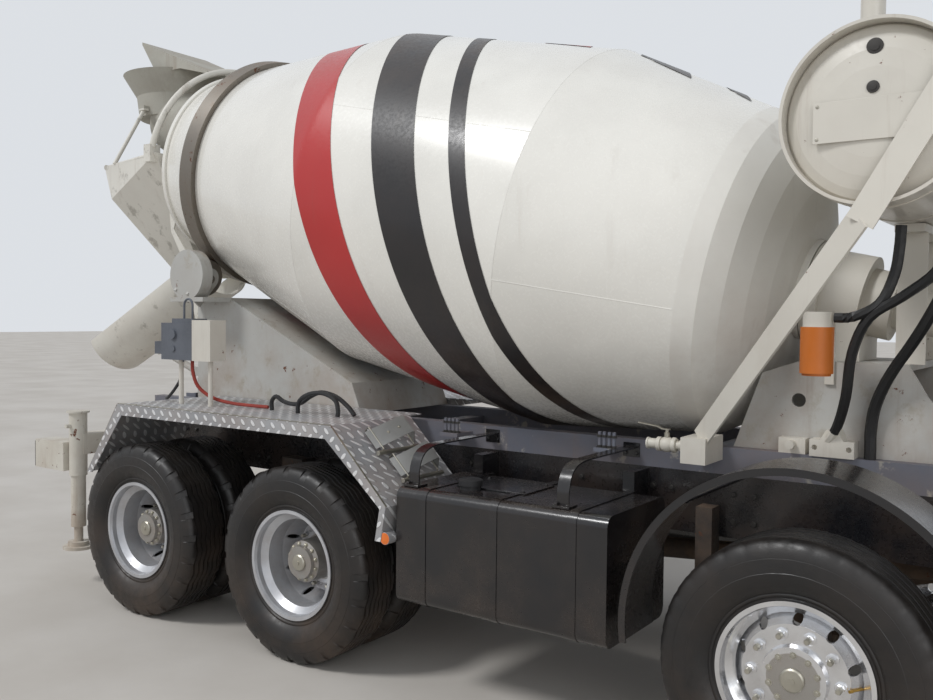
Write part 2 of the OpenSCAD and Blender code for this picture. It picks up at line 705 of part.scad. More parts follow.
// Drum shell: outer line by radius and station, inner line one wall further in
function drum_line(d) = concat(
    [[mouth_r - d, mouth_s], [neck_r - d, ring_s0], [ring_seat_r - d, ring_s1], [drum_r - d,
        belly_s0 + d * 0.1],
        [drum_r - d, belly_s1 - d * 0.1], [head_r - d, head_s - d * 0.5]],
    [for (a = [15, 30, 45, 60, 75]) [flange_r + (head_r - flange_r) * cos(a * 1.08) - d * 0.6,
        head_s + (head_depth - d) * sin(a * 1.08) - d * 0.4]]);
module drum() {
    outer = drum_line(0);
    inner = drum_line(drum_wall);
    n = len(outer) - 1;
    color([0.93, 0.92, 0.89]) on_drum_axis() {
        rotate_extrude($fn = round_fn) polygon(concat(outer, [[flange_r, flange_s], [flange_r,
            flange_s + flange_t],
            [shaft_r, flange_s + flange_t], [shaft_r, flange_s + flange_t + shaft_len], [0,
                flange_s + flange_t + shaft_len],
            [0, flange_s - drum_wall * 2]], [for (i = [n : -1 : 0]) inner[i]]));
        rotate_extrude($fn = round_fn) polygon([[neck_r - 2, ring_s0], [ring_r, ring_s0], [ring_r,
            ring_s1], [ring_seat_r - 2, ring_s1]]);
        rotate_extrude($fn = round_fn) polygon([[mouth_r - 4, mouth_s], [mouth_r + 22, mouth_s],
            [mouth_r + 22, mouth_s + 30], [mouth_r, mouth_s + 30]]);
    }
}

// Mixing blades: two helical strips on the wall of the rear cone
blade_turns = 1.25;
blade_steps = 40;
blade_t = 10;
function shell_r(s) = s < ring_s0 ? mouth_r + (neck_r - mouth_r) * (s - mouth_s) / (ring_s0 - mouth_s)
    : s < ring_s1 ? neck_r + (ring_seat_r - neck_r) * (s - ring_s0) / ring_w
    : ring_seat_r + (drum_r - ring_seat_r) * (s - ring_s1) / rear_cone_len;
module blade(start) {
    s0 = mouth_s + 130;
    s1 = belly_s0 - 40;
    rows = [for (i = [0 : blade_steps])
        let (s = s0 + (s1 - s0) * i / blade_steps, a = start + 360 * blade_turns * i / blade_steps,
            ro = shell_r(s) - drum_wall - 0.8, ri = ro - blade_h)
        [[ri * cos(a), ri * sin(a), s], [ro * cos(a), ro * sin(a), s],
            [ro * cos(a), ro * sin(a), s + blade_t], [ri * cos(a), ri * sin(a), s + blade_t]]];
    faces = concat([[0, 1, 2, 3]], [[for (k = [3 : -1 : 0]) blade_steps * 4 + k]],
        [for (i = [0 : blade_steps - 1], k = [0 : 3])
            each let (a = i * 4 + k, b = i * 4 + (k + 1) % 4) [[a, a + 4, b + 4], [a, b + 4, b]]]);
    polyhedron(points = [for (r = rows) each r], faces = faces, convexity = 6);
}
module mixing_blades() {
    color([0.5, 0.48, 0.45]) on_drum_axis() {
        blade(0);
        blade(180);
    }
}

// Rollers under the track ring, side 1 left and -1 right
module at_roller(side) {
    on_drum_axis() rotate([0, 0, side * roller_angle]) translate([roller_dist, 0, roller_s]) children();
}
module roller(side) {
    color([0.55, 0.55, 0.56]) at_roller(side) {
        translate([0, 0, -roller_w / 2]) cylinder(r = roller_r, h = roller_w, $fn = round_fn);
        translate([0, 0, -roller_w / 2 - 40]) cylinder(r = roller_shaft_r, h = roller_w + 80, $fn = round_fn);
    }
}
module roller_left() { roller(1); }
module roller_right() { roller(-1); }

// Rear pedestal: plated box under the drum with the ears of the rollers
ped_half_w = 450;
ped_x0 = axle4_x - 360;
ped_x1 = ped_x0 + 1540;
ped_top = 2000;
ped_front_z = 1470;
module ped_outline(d) {
    polygon([[ped_x0 + d, sub_top + seat - (d > 0 ? 10 : 0)], [ped_x0 + d, ped_top - d],
        [ped_x0 + 330 - d * 0.2, ped_top - d],
        [ped_x1 - 80 - d, ped_front_z - d], [ped_x1 - d, sub_top + seat - (d > 0 ? 10 : 0)]]);
}
module rear_pedestal() {
    ear_t = 20;
    color([0.8, 0.8, 0.79]) {
        difference() {
            xz_plate(-ped_half_w, ped_half_w) ped_outline(0);
            xz_plate(-ped_half_w + plate_t, ped_half_w - plate_t) ped_outline(plate_t);
        }
        for (side = [-1, 1]) at_roller(side) for (e = [-1, 1])
            translate([0, 0, e * (roller_w / 2 + 4 + ear_t / 2)])
                difference() {
                    union() {
                        translate([0, 0, -ear_t / 2]) cylinder(r = 75, h = ear_t, $fn = round_fn);
                        translate([0, -75, -ear_t / 2]) cube([190, 150, ear_t]);
                    }
                    translate([0, 0, -ear_t]) cylinder(r = roller_shaft_r + run_c, h = 2 * ear_t,
                        $fn = round_fn);
                }
        both_sides() {
            box([ped_x0 + 5, ped_half_w - 60, ped_top - 30], [ped_x0 + 345, roller_guard_y1, ped_top]);
            // Half-round guard outboard of the roller
            difference() {
                guard_solid(0);
                translate([0, -1, 0]) guard_solid(plate_t);
            }
        }
    }
}

guard_r = 170;
guard_x = ped_x0 + 175;
roller_guard_y0 = ped_half_w + 155;
roller_guard_y1 = ped_half_w + 240;
module guard_solid(d) {
    xz_plate(roller_guard_y0, roller_guard_y1 - d) intersection() {
        translate([guard_x, ped_top + 150]) circle(r = guard_r - d, $fn = round_fn);
        translate([guard_x - guard_r, ped_top - 1]) square([2 * guard_r, 2 * guard_r]);
    }
}

// Front pedestal: side plates with gussets and the cradle under the gearbox
fped_x0 = axle2_x - 530;
fped_x1 = axle2_x + 580;
fped_y = 350;
cradle_z = 1700;
module front_pedestal() {
    z0 = sub_top + seat;
    color([0.6, 0.61, 0.64]) {
        both_sides() xz_plate(fped_y, fped_y + 16) difference() {
            polygon([[fped_x0, z0], [fped_x0 + 130, 1640], [fped_x0 + 300, cradle_z], [fped_x0 + 760,
                cradle_z],
                [fped_x0 + 840, 1560], [fped_x1, z0]]);
            translate([fped_x0 + 300, 1520]) circle(r = 32, $fn = 48);
        }
        box([fped_x0 + 300, -fped_y - 1, cradle_z - 30], [fped_x0 + 760, fped_y + 1, cradle_z]);
        box([fped_x0 + 60, -fped_y - 1, z0 + 20], [fped_x0 + 80, fped_y + 1, z0 + 60]);
        box([fped_x1 - 120, -fped_y - 1, z0 + 20], [fped_x1 - 100, fped_y + 1, z0 + 60]);
    }
}

// Drum gearbox with its foot on the cradle, and its hydraulic motor
gear_s = flange_s + flange_t + 6;
module drum_gearbox() {
    color([0.85, 0.85, 0.83]) difference() {
        union() {
            on_drum_axis() {
                translate([0, 0, gear_s]) cylinder(r = 250, h = 70, $fn = round_fn);
                translate([0, 0, gear_s + 69]) cylinder(r = 215, h = 180, $fn = round_fn);
                translate([0, 0, gear_s + 248]) cylinder(r = 160, h = 130, $fn = round_fn);
                translate([0, 0, gear_s + 377]) cylinder(r = 100, h = 230, $fn = round_fn);
            }
            box([fped_x0 + 330, -190, cradle_z + seat], [fped_x0 + 520, 190, cradle_z + 210]);
        }
        on_drum_axis() translate([0, 0, gear_s - 1]) cylinder(r = shaft_r + shaft_c, h = shaft_len + 20,
            $fn = round_fn);
    }
}

// Water tank across the truck behind the cab
tank_x = axle4_x + 4235;
tank_z = 2640;
module water_tank() {
    half = tank_len / 2;
    dish = 60;
    left = [for (i = [1 : 6]) [(tank_r - 12) * sin(i * 15), half - dish * (1 - cos(i * 15))]];
    color([0.9, 0.9, 0.87]) {
        translate([tank_x, 0, tank_z]) spun(concat([[0, half - 10]], [for (p = left) [p[0], p[1] - 10]],
            [[tank_r - 12, half], [tank_r, half]],
            [[tank_r, -half], [tank_r - 12, -half]], [for (i = [5 : -1 : 0]) [left[i][0],
                -left[i][1] + 10]], [[0, -half + 10]]));
        rod_z(tank_x - 65, -900, tank_z + tank_r - 40, tank_z + tank_r + 220, 45);
        rod_z(tank_x - 65, -900, tank_z + tank_r + 200, tank_z + tank_r + 230, 62);
    }
}

// Frame of the water tank: posts on the front pedestal and two flat stays outside its ends
post_y = 300;
module tank_frame() {
    side_y = tank_len / 2 + seat + 3;
    foot = [axle2_x - 610, rail_half_w + 170, sub_top + 50];
    knee = [axle2_x + 190, side_y + 6, 2262];
    tip = [axle2_x + 510, side_y + 6, 2790];
    color([0.78, 0.77, 0.74]) {
        both_sides() {
            flat_bar(foot, knee, 105, 12);
            box([foot[0] - 70, rail_half_w + seat, sub_top - 60], [foot[0] + 50, rail_half_w + 230,
                sub_top + 60]);
            flat_bar(knee - [0, 0, 20], tip, 105, 12);
            box([tank_x - 60, post_y, cradle_z + seat], [tank_x + 60, post_y + 12, tank_z - tank_r - 33]);
            box([tank_x - 60, post_y - 100, tank_z - tank_r - 34], [tank_x + 60, post_y + 101,
                tank_z - tank_r - seat]);
        }
    }
}

// Hydraulic oil filter on a bracket, ball valve and drain beside the pedestal
module hydraulics() {
    fx = axle4_x + 3915;
    deck = sub_top + seat;
    color([0.85, 0.42, 0.1]) {
        rod_z(fx, -600, 1660, 1860, 69);
        rod_z(fx, -600, 1650, 1661, 60);
    }
    color([0.85, 0.85, 0.83]) {
        rod_z(fx, -600, 1859, 1925, 60);
        box([fx - 20, -600, 1890], [fx + 20, -fped_y - 16 - seat, 1925]);
        box([fx - 20, -fped_y - 30, 1600], [fx + 20, -fped_y - 16 - seat, 1925]);
        // Manifold block with its fittings on the subframe, and the pump's pillow block
        box([fx - 205, -fped_y - 76, deck], [fx - 85, -fped_y - 16 - seat, deck + 70]);
        difference() {
            xz_plate(-fped_y - 106, -fped_y - 17) polygon([[fx - 60, deck], [fx + 130, deck], [fx + 130,
                deck + 75], [fx + 85, deck + 75],
                [fx + 60, deck + 120], [fx + 10, deck + 120], [fx - 15, deck + 75], [fx - 60, deck + 75]]);
            for (dx = [-38, 108]) rod_y(fx + dx, deck + 40, -fped_y - 107, -fped_y - 80, 12);
        }
    }
    color([0.05, 0.05, 0.05]) {
        rod_y(fx - 145, deck + 42, -fped_y - 120, -fped_y - 75, 20);
        for (h = hydraulic_hoses) hose(h[1], h[0], [1, 0.2, 0.1]);
    }
}
// Hydraulic hoses: radius and points, from the filter and the motor's ports up to the pump lines behind the tank
hydraulic_hoses = [
    [22, [[1385, -600, 1900], [1460, -600, 1905], [1560, -590, 1960], [1610, -570, 2080], [1625, -560,
        2190], [1630, -560, 2284]]],
    [22, [[1320, -430, 1340], [1375, -470, 1420], [1420, -520, 1560], [1450, -560, 1750], [1520, -590,
        1900], [1650, -600, 1990], [1770, -590, 2090], [1800, -560, 2200], [1808, -545, 2310]]],
    [25, [[1500, -400, sub_top + seat], [1500, -400, 1340], [1500, -400, 1400], [1514, -409, 1500],
        [1552, -433, 1600], [1606, -467, 1695], [1668, -507, 1785], [1728, -546, 1880],
        [1784, -573, 1985], [1834, -580, 2100], [1874, -565, 2215], [1905, -530, 2330]]],
];

// Air intake stack behind the cab, on a bracket from the left rail
module intake_stack() {
    x0 = cab_back - 330;
    color([0.08, 0.08, 0.09]) {
        box([x0, 780, 1400], [x0 + 210, 1060, 2880]);
        box([x0 + 60, rail_half_w + seat, 1040], [x0 + 150, 830, 1100]);
        box([x0 + 60, 790, 1040], [x0 + 150, 850, 1401]);
    }
}

// Charge hopper: funnel over an inclined pipe into the drum's mouth, and its splash guard
hopper_x = axle4_x - 1130;
hopper_z = 3720;
pipe_r = 285;
pipe_elbow = [hopper_x + 20, 0, 3420];
pipe_tip = [hopper_x + 690, 0, 3105];
strut_z = 3440;
module charge_hopper() {
    t = 8;
    color([0.75, 0.75, 0.73]) {
        difference() {
            union() {
                translate([hopper_x, 0, 0]) rotate_extrude($fn = round_fn)
                    polygon([[0, 3400], [pipe_r + 20, 3400], [pipe_r + 40, 3560], [425, hopper_z], [0,
                        hopper_z]]);
                bar(pipe_elbow, pipe_tip, pipe_r);
            }
            translate([hopper_x, 0, 0]) rotate_extrude($fn = round_fn)
                polygon([[0, 3410], [pipe_r + 20 - t, 3410], [pipe_r + 40 - t, 3560 + 2], [425 - t,
                    hopper_z + 1], [0, hopper_z + 1]]);
            bar(pipe_elbow, pipe_tip + (pipe_tip - pipe_elbow) * 0.1, pipe_r - t);
        }
        both_sides() box([hopper_x - 30, 290, strut_z], [hopper_x + 30, 360, strut_z + 20]);
        // Splash guard standing on the funnel's front edge
        difference() {
            xz_prism([[hopper_x - 70, 3960], [hopper_x + 680, 3640], [hopper_x + 680, 3620],
                [hopper_x + 380, hopper_z - 20],
                [hopper_x + 100, hopper_z - 20], [hopper_x - 70, 3940]], -300, 300);
            xz_prism([[hopper_x - 80, 3950], [hopper_x + 700, 3620], [hopper_x + 380, hopper_z - 40],
                [hopper_x + 80, hopper_z - 40], [hopper_x - 80, 3900]], -290, 290);
        }
    }
}

// Discharge collector: open funnel behind the mouth, arch over the mouth, arms and struts
swing_x = axle4_x - 820;
trough_lift = 45;
chute_len = (swing_x - rear_x - (trough_lift + chute_r) * sin(chute_slope)) / cos(chute_slope);
outlet_z = 2165;
collector_z = 3000;
collector_x0 = axle4_x - 1390;
collector_x1 = axle4_x - 500;
collector_rear_w = 1000;
collector_front_w = 1400;
outlet_w = 280;
module collector_solid(d) {
    intersection() {
        xz_plate(-800, 800) polygon([[collector_x0 + d, collector_z + d], [collector_x1 - d, collector_z + d],
            [swing_x + outlet_w / 2 - d, outlet_z - d], [swing_x - outlet_w / 2 + d, outlet_z - d]]);
        yz_plate(collector_x0 - 20, collector_x1 + 20) polygon([[-collector_front_w / 2 + d, collector_z + d],
            [collector_front_w / 2 - d, collector_z + d], [outlet_w / 2 - d, outlet_z - d],
                [-outlet_w / 2 + d, outlet_z - d]]);
        translate([0, 0, outlet_z - 20]) linear_extrude(collector_z - outlet_z + 40)
            polygon([[collector_x0, -collector_rear_w / 2 + d],
            [collector_x1, -collector_front_w / 2 + d], [collector_x1, collector_front_w / 2 - d],
                [collector_x0, collector_rear_w / 2 - d]]);
    }
}
module discharge_collector() {
    arch_s = mouth_s - 90;
    arch_r = 690;
    color([0.75, 0.75, 0.73]) {
        difference() {
            collector_solid(0);
            collector_solid(8);
            bar(pipe_elbow, pipe_tip, pipe_r + 12);
            on_drum_axis() box([-1200, -1200, mouth_s - 30], [1500, 1200, 0]);
        }
        // Arch over the mouth, rim tubes, struts to the charge hopper and arms to the pedestal
        on_drum_axis() translate([0, 0, arch_s]) rotate([0, 0, 94]) rotate_extrude(angle = 172,
            $fn = round_fn)
            translate([arch_r, 0]) circle(r = 22, $fn = 32);
        arch_x = drum_x + arch_s * cos(drum_tilt);
        both_sides() {
            box([arch_x - 45, arch_r - 55, collector_z - 60], [arch_x + 25, arch_r + 30, collector_z + 60]);
            bar([collector_x0 + 12, 486, collector_z - 4], [collector_x1 - 110, 665, collector_z - 4], 14);
            bar([hopper_x - 70, 545, collector_z], [hopper_x, 336, strut_z - 8], 14);
            box([hopper_x - 30, 314, strut_z - 14], [hopper_x + 30, 360, strut_z - seat]);
            box([ped_x0 - 12 - seat, 380, 1740], [ped_x0 - seat, 442, 1990]);
            xz_prism([[ped_x0 - 5, 1985], [ped_x0 - 5, 1750], [ped_x0 - 185, 2290], [ped_x0 - 310, 2480],
                [ped_x0 - 330, 2640],
                [ped_x0 - 235, 2640], [ped_x0 - 280, 2500], [ped_x0 - 130, 2320]], 430, 442);
        }
        rod_y(collector_x0 + 10, collector_z - 4, -500, 500, 19);
    }
}

// Control station beside the rear pedestal, on posts from the right fender, with its hoses over the fender
control_hoses = [
    [13, [[-1720, -905, 1322], [-1722, -905, 1375], [-1690, -900, 1405], [-1640, -890, 1378], [-1570,
        -880, 1365], [-1500, -880, 1378], [-1420, -885, 1420], [-1330, -890, 1448], [-1220, -890, 1430],
        [-1130, -890, 1380], [-1080, -890, 1334]]],
    [13, [[-1480, -930, 1322], [-1478, -930, 1370], [-1450, -930, 1410], [-1380, -925, 1440], [-1290,
        -920, 1446], [-1200, -920, 1415], [-1172, -925, 1360], [-1170, -930, 1322]]],
    [11, [[-2330, -1000, 1602], [-2325, -1000, 1530], [-2290, -990, 1440], [-2200, -960, 1375], [-2060,
        -930, 1345], [-1900, -900, 1336], [-1780, -880, 1334]]],
    [10, [[-2440, -985, 1602], [-2450, -985, 1540], [-2480, -975, 1470], [-2560, -960, 1400], [-2660,
        -930, 1345], [-2720, -900, 1334]]],
];
module control_box() {
    x0 = axle4_x + 30;
    z0 = fender_z + 280;
    z1 = z0 + 250;
    color([0.85, 0.85, 0.8]) right_side() {
        box([x0 + 310, 940, z0], [x0 + 480, 1060, z1]);
        box([x0, 930, z0], [x0 + 309, 1050, z1 - 20]);
        box([x0 + 100, 935, z1 - 21], [x0 + 300, 1045, z1 + 8]);
        rod_y(x0 + 120, z0 + 160, 1049, 1064, 30);
        rod_y(x0 + 120, z0 + 70, 1049, 1058, 18);
        for (x = [x0 + 120, x0 + 400]) rod_z(x, 990, fender_z + seat, z0 + 1, 15);
        box([x0 - 120, 950, z0 + 30], [x0 + 1, 1010, z0 + 110]);
    }
    color([0.6, 0.6, 0.58]) right_side() {
        for (x = [x0 + 150, x0 + 230]) rod_z(x, 990, z1 + 7, z1 + 90, 7);
        translate([x0 + 190, 990, z1 + 90]) rotate([90, 0, 0]) rotate_extrude(angle = 180,
            $fn = 48) translate([40, 0]) circle(r = 7, $fn = 24);
    }
    color([0.05, 0.05, 0.05]) for (h = control_hoses) hose(h[1], h[0], [0, 1, 0.15]);
}

// Ladder and platform on the left fender
module ladder() {
    x0 = fender_x0 + 30;
    w = 420;
    top = 2420;
    color([0.8, 0.8, 0.78]) {
        for (x = [x0, x0 + w]) rod_z(x, 1190, fender_z + seat, top + 900, 16);
        for (i = [1 : 4]) rod_x(1190, fender_z + i * 240, x0, x0 + w, 12);
        box([x0 - 16, 860, top], [x0 + w + 16, 1206, top + 30]);
        for (x = [x0, x0 + w]) bar([x, 1190, fender_z + 700], [x, 900, top + 10], 14);
        for (z = [top + 450, top + 880]) rod_x(1190, z, x0, x0 + w, 14);
    }
}

// Chute: turret in the socket, half-round trough on a hinge pin, and its jack
turret_z0 = sub_top + 105;
turret_shaft = 110;
chute_pin_z = 1860;
chute_pin_r = 20;
module chute_turret() {
    color([0.8, 0.8, 0.78]) difference() {
        union() {
            rod_z(swing_x, 0, turret_z0 - turret_shaft, turret_z0 + 6, 40);
            rod_z(swing_x, 0, turret_z0 + 5, chute_pin_z - 60, 55);
            both_sides() box([swing_x - 40, 56, chute_pin_z - 90], [swing_x + 40, 76, chute_pin_z + 34]);
            box([swing_x - 40, -76, chute_pin_z - 90], [swing_x + 40, 76, chute_pin_z - 60]);
            for (y = [-53, 33]) box([swing_x - 125, y, turret_z0 + 20], [swing_x, y + 20, turret_z0 + 90]);
        }
        rod_y(swing_x, chute_pin_z, -100, 100, chute_pin_r + run_c);
        rod_y(swing_x - 100, turret_z0 + 45, -100, 100, 15 + run_c);
    }
}

// Puts a child in the chute's axes: X down the trough from the hinge pin, Z up out of it
module on_chute() {
    translate([swing_x, 0, chute_pin_z]) rotate([0, -chute_slope, 0]) mirror([1, 0, 0]) children();
}
jack_eye_x = 600;
jack_eye_z = -10;
jack_pin_r = 12;
jack_drift = 9;
module chute() {
    t = 6;
    back = 300;
    color([0.75, 0.74, 0.72]) on_chute() {
        difference() {
            translate([-back, 0, trough_lift + chute_r]) rotate([0, 90, 0]) cylinder(r = chute_r,
                h = back + chute_len, $fn = round_fn);
            translate([-back - 1, 0, trough_lift + chute_r]) rotate([0, 90, 0]) cylinder(r = chute_r - t,
                h = back + chute_len + 2, $fn = round_fn);
            box([-back - 1, -chute_r - 1, trough_lift + chute_r], [chute_len + 1, chute_r + 1,
                trough_lift + 2 * chute_r + 1]);
        }
        rod_y(0, 0, -90, 90, chute_pin_r);
        both_sides() box([-30, 20, -30], [30, 40, trough_lift + 6]);
        for (y = [-40, 22]) box([jack_eye_x - 25, y, jack_eye_z - 25], [jack_eye_x + 25, y + 18,
            trough_lift + 6]);
        rod_y(jack_eye_x, jack_eye_z, -40, 40, jack_pin_r);
    }
}
function chute_point(u, w) = [swing_x - u * cos(chute_slope) - w * sin(chute_slope), 0,
    chute_pin_z - u * sin(chute_slope) + w * cos(chute_slope)];
jack_foot = [swing_x - 100, 0, turret_z0 + 45];
jack_eye = chute_point(jack_eye_x, jack_eye_z);
jack_dir = (jack_eye - jack_foot) / norm(jack_eye - jack_foot);
jack_len = norm(jack_eye - jack_foot);
jack_bore_z = 36;
jack_close = 62;
module along_jack() {
    translate(jack_foot) rotate([0, atan2(jack_dir[0], jack_dir[2]), 0]) children();
}
module jack_barrel() {
    color([0.8, 0.8, 0.78]) {
        rod_y(jack_foot[0], jack_foot[2], -52, 52, 15);
        along_jack() difference() {
            union() {
                rotate([90, 0, 0]) translate([0, 0, -27]) cylinder(r = 28, h = 54, $fn = round_fn);
                translate([0, 0, 10]) cylinder(r = 27, h = jack_len - jack_close - 48, $fn = round_fn);
            }
            translate([0, 0, jack_bore_z]) cylinder(r = 16 + run_c, h = jack_len, $fn = round_fn);
        }
    }
}
module jack_rod() {
    eye_r = jack_pin_r + jack_drift;
    color([0.8, 0.8, 0.78]) along_jack() difference() {
        union() {
            translate([0, 0, jack_bore_z + jack_close + 4]) cylinder(r = 16,
                h = jack_len - jack_bore_z - jack_close - 4 - eye_r, $fn = round_fn);
            translate([0, 18, jack_len]) rotate([90, 0, 0]) cylinder(r = eye_r + 9, h = 36, $fn = round_fn);
        }
        translate([0, 30, jack_len]) rotate([90, 0, 0]) cylinder(r = eye_r, h = 60, $fn = round_fn);
    }
}

// Front bumper around the cab's front corners, with its lamps and tow clevis
bumper_z0 = 420;
bumper_z1 = hinge_z - 50;
module bumper_plan(d) {
    polygon([[cab_back + 1110, -cab_w / 2 + d], [front_x - 150 - d * 0.4, -cab_w / 2 + d], [front_x - d,
        -cab_w / 2 + 170 + d * 0.4],
        [front_x - d, cab_w / 2 - 170 - d * 0.4], [front_x - 150 - d * 0.4, cab_w / 2 - d],
            [cab_back + 1110, cab_w / 2 - d]]);
}
module front_bumper() {
    color([0.9, 0.9, 0.88]) {
        difference() {
            translate([0, 0, bumper_z0]) linear_extrude(bumper_z1 - bumper_z0) bumper_plan(0);
            translate([0, 0, bumper_z0 - 1]) linear_extrude(bumper_z1 - bumper_z0 + 2) bumper_plan(60);
            translate([0, 0, bumper_z0 - 1]) box([cab_back + 1100, -cab_w / 2 + 60, 0], [cab_back + 1200,
                cab_w / 2 - 60, 500]);
            both_sides() box([front_x - 40, 740, 560], [front_x + 1, 990, 700]);
            rod_x(-350, 600, front_x - 61, front_x + 1, 20);
        }
        difference() {
            rod_x(-350, 600, front_x - 160, front_x - 59, 45);
            rod_x(-350, 600, front_x - 150, front_x - 50, 20);
        }
        both_sides() {
            box([front_x - 40 + seat, 740 + seat, 560 + seat], [front_x - 6, 990 - seat, 700 - seat]);
            box([frame_front_x + seat, rail_half_w - 60, rail_z - 60], [front_x - 59, rail_half_w - 20,
                hinge_z - 60]);
        }
    }
}

// Cab shell: side profile crossed with a rounded plan, hollow above its floor
floor_t = 45;
tunnel_y = 420;
tunnel_z = cab_floor_z + 170;
skirt_z = rail_z + 80;
module cab_profile(d, z0) {
    polygon(concat([[cab_back + d, z0]], arc([cab_back + 90, cab_top - 90], 90 - d, 180, 90, 6),
        arc([cab_front - 360, cab_top - 200], 200 - d, 90, 8, 6), [[cab_front - 42 - d, 1820],
            [cab_front - d, 1560], [cab_front - d, z0]]));
}
module cab_plan(d) {
    r = 140;
    translate([cab_back + d, -cab_w / 2 + d]) square([cab_len - r - d, cab_w - 2 * d]);
    translate([cab_back + d, -cab_w / 2 + r]) square([cab_len - 2 * d, cab_w - 2 * r]);
    for (y = [-1, 1]) translate([cab_front - r, y * (cab_w / 2 - r)]) circle(r = r - d, $fn = 64);
}
module cab_solid(d, z0) {
    intersection() {
        xz_plate(-cab_w / 2, cab_w / 2) cab_profile(d, z0);
        translate([0, 0, z0]) linear_extrude(cab_top - z0 + 1) cab_plan(d);
    }
}

// Door: rectangle less the wheel arch, grown by d
door_x0 = axle1_x + 90;
door_x1 = cab_front - 260;
door_z0 = rail_z + 250;
door_z1 = cab_top - 250;
arch_r = guard1_r + 30;
module door_outline(d) {
    difference() {
        translate([door_x0 - d, door_z0 - d]) square([door_x1 - door_x0 + 2 * d, door_z1 - door_z0 + 2 * d]);
        translate([axle1_x, guard1_z]) circle(r = arch_r + 40 - d, $fn = round_fn);
    }
}
door_hinge_zs = [1480, 1840];
door_pin_y = cab_w / 2 + 14;
module door_window(d) {
    polygon([[door_x0 + 90 - d, 1930 - d], [door_x1 - 60 + d, 1930 - d], [door_x1 - 120 + d,
        door_z1 - 90 + d], [door_x0 + 90 - d, door_z1 - 90 + d]]);
}
module windscreen_outline(d) {
    round_rect([-1050 - d, 1840 - d], [1050 + d, 2680 + d], 60);
}
module rear_window_outline(d) {
    round_rect([-550 - d, 2000 - d], [550 + d, 2520 + d], 40);
}
module cab_shell() {
    t = cab_wall;
    color([0.93, 0.93, 0.9]) {
        difference() {
            cab_solid(0, skirt_z);
            cab_solid(t, cab_floor_z + floor_t);
            translate([0, 0, skirt_z - 1]) linear_extrude(cab_floor_z - skirt_z + 1) cab_plan(t);
            xz_plate(-cab_w / 2 - 1, cab_w / 2 + 1) translate([axle1_x, guard1_z]) circle(r = arch_r,
                $fn = round_fn);
            box([cab_back - 1, -tunnel_y, skirt_z - 1], [cab_front - t, tunnel_y, tunnel_z]);
            both_sides() xz_plate(cab_w / 2 - t - 1, cab_w / 2 + 1) door_outline(door_gap);
            yz_plate(cab_front - 300, cab_front + 1) windscreen_outline(0);
            yz_plate(cab_back - 1, cab_back + t + 1) rear_window_outline(0);
        }
        difference() {
            box([cab_back, -tunnel_y - t, cab_floor_z], [cab_front - t + 1, tunnel_y + t, tunnel_z + t]);
            box([cab_back - 1, -tunnel_y, cab_floor_z - 1], [cab_front - t, tunnel_y, tunnel_z]);
        }
        both_sides() for (z = door_hinge_zs) {
            rod_z(door_x1, door_pin_y, z - 45, z + 45, 6);
            for (e = [-45, 17]) {
                rod_z(door_x1, door_pin_y, z + e, z + e + 28, 12);
                box([door_x1, cab_w / 2 - 1, z + e], [door_x1 + 45, door_pin_y + 4, z + e + 28]);
            }
        }
        // Front cross member with the hinge lugs
        difference() {
            union() {
                box([hinge_x - 50, -cab_w / 2 + 200, hinge_z + 60], [cab_front - t + 1, cab_w / 2 - 200,
                    hinge_z + 160]);
                both_sides() {
                    box([hinge_x - 25, hinge_y - 24, hinge_z], [hinge_x + 25, hinge_y + 24, hinge_z + 61]);
                    rod_y(hinge_x, hinge_z, hinge_y - 24, hinge_y + 24, 34);
                }
            }
            both_sides() rod_y(hinge_x, hinge_z, hinge_y - 30, hinge_y + 30, hinge_pin_r + run_c);
        }
    }
}
module cab_glass() {
    color([0.2, 0.25, 0.28]) {
        intersection() {
            yz_plate(cab_front - 300, cab_front + 1) windscreen_outline(-seat);
            xz_plate(-1100, 1100) polygon([[cab_front - 160 - 22, cab_top - 190], [cab_front - 42 - 22,
                1820], [cab_front - 42 - 30, 1820], [cab_front - 160 - 30, cab_top - 190]]);
        }
        yz_plate(cab_back + 18, cab_back + 26) rear_window_outline(-seat);
    }
}
seat_y0 = cab_w / 2 - 720;
module cab_interior() {
    z = cab_floor_z + floor_t + seat;
    color([0.2, 0.2, 0.22]) {
        both_sides() {
            box([cab_back + 160, seat_y0, z], [cab_back + 640, seat_y0 + 500, z + 300]);
            xz_prism([[cab_back + 100, z + 250], [cab_back + 230, z + 250], [cab_back + 150, z + 1150],
                [cab_back + 60, z + 1150]], seat_y0 + 10, seat_y0 + 490);
        }
        xz_prism([[cab_front - 420, 1560], [cab_front - 360, 1860], [cab_front - 110, 1890],
            [cab_front - t_dash, 1560]], -cab_w / 2 + 100, cab_w / 2 - 100);
        translate([cab_front - 560, seat_y0 + 140, 2010]) rotate([0, -35,
            0]) rotate_extrude($fn = 48) translate([215, 0]) circle(r = 15, $fn = 24);
        translate([cab_front - 560, seat_y0 + 140, 2010]) rotate([0, -35, 0]) box([-215, -20, -8], [215,
            20, 8]);
        bar([cab_front - 560, seat_y0 + 140, 2010], [cab_front - 380, seat_y0 + 140, 1750], 30);
    }
}
t_dash = cab_wall + 9.7;

// Cab trim: grille, mirrors on their arms
mirror_y0 = cab_w / 2 + 50;
module cab_trim() {
    color([0.07, 0.07, 0.08]) {
        difference() {
            box([cab_front + seat, -780, 1020], [cab_front + 24, 780, 1520]);
            for (i = [0 : 4]) box([cab_front + 10, -750, 1050 + i * 92], [cab_front + 30, 750,
                1110 + i * 92]);
        }
        both_sides() {
            box([cab_front - 210, mirror_y0, 1760], [cab_front - 130, mirror_y0 + 210, 2350]);
            for (z = [1850, 2260]) rod_y(cab_front - 170, z, cab_w / 2 + seat, mirror_y0 + 1, 12);
        }
    }
}

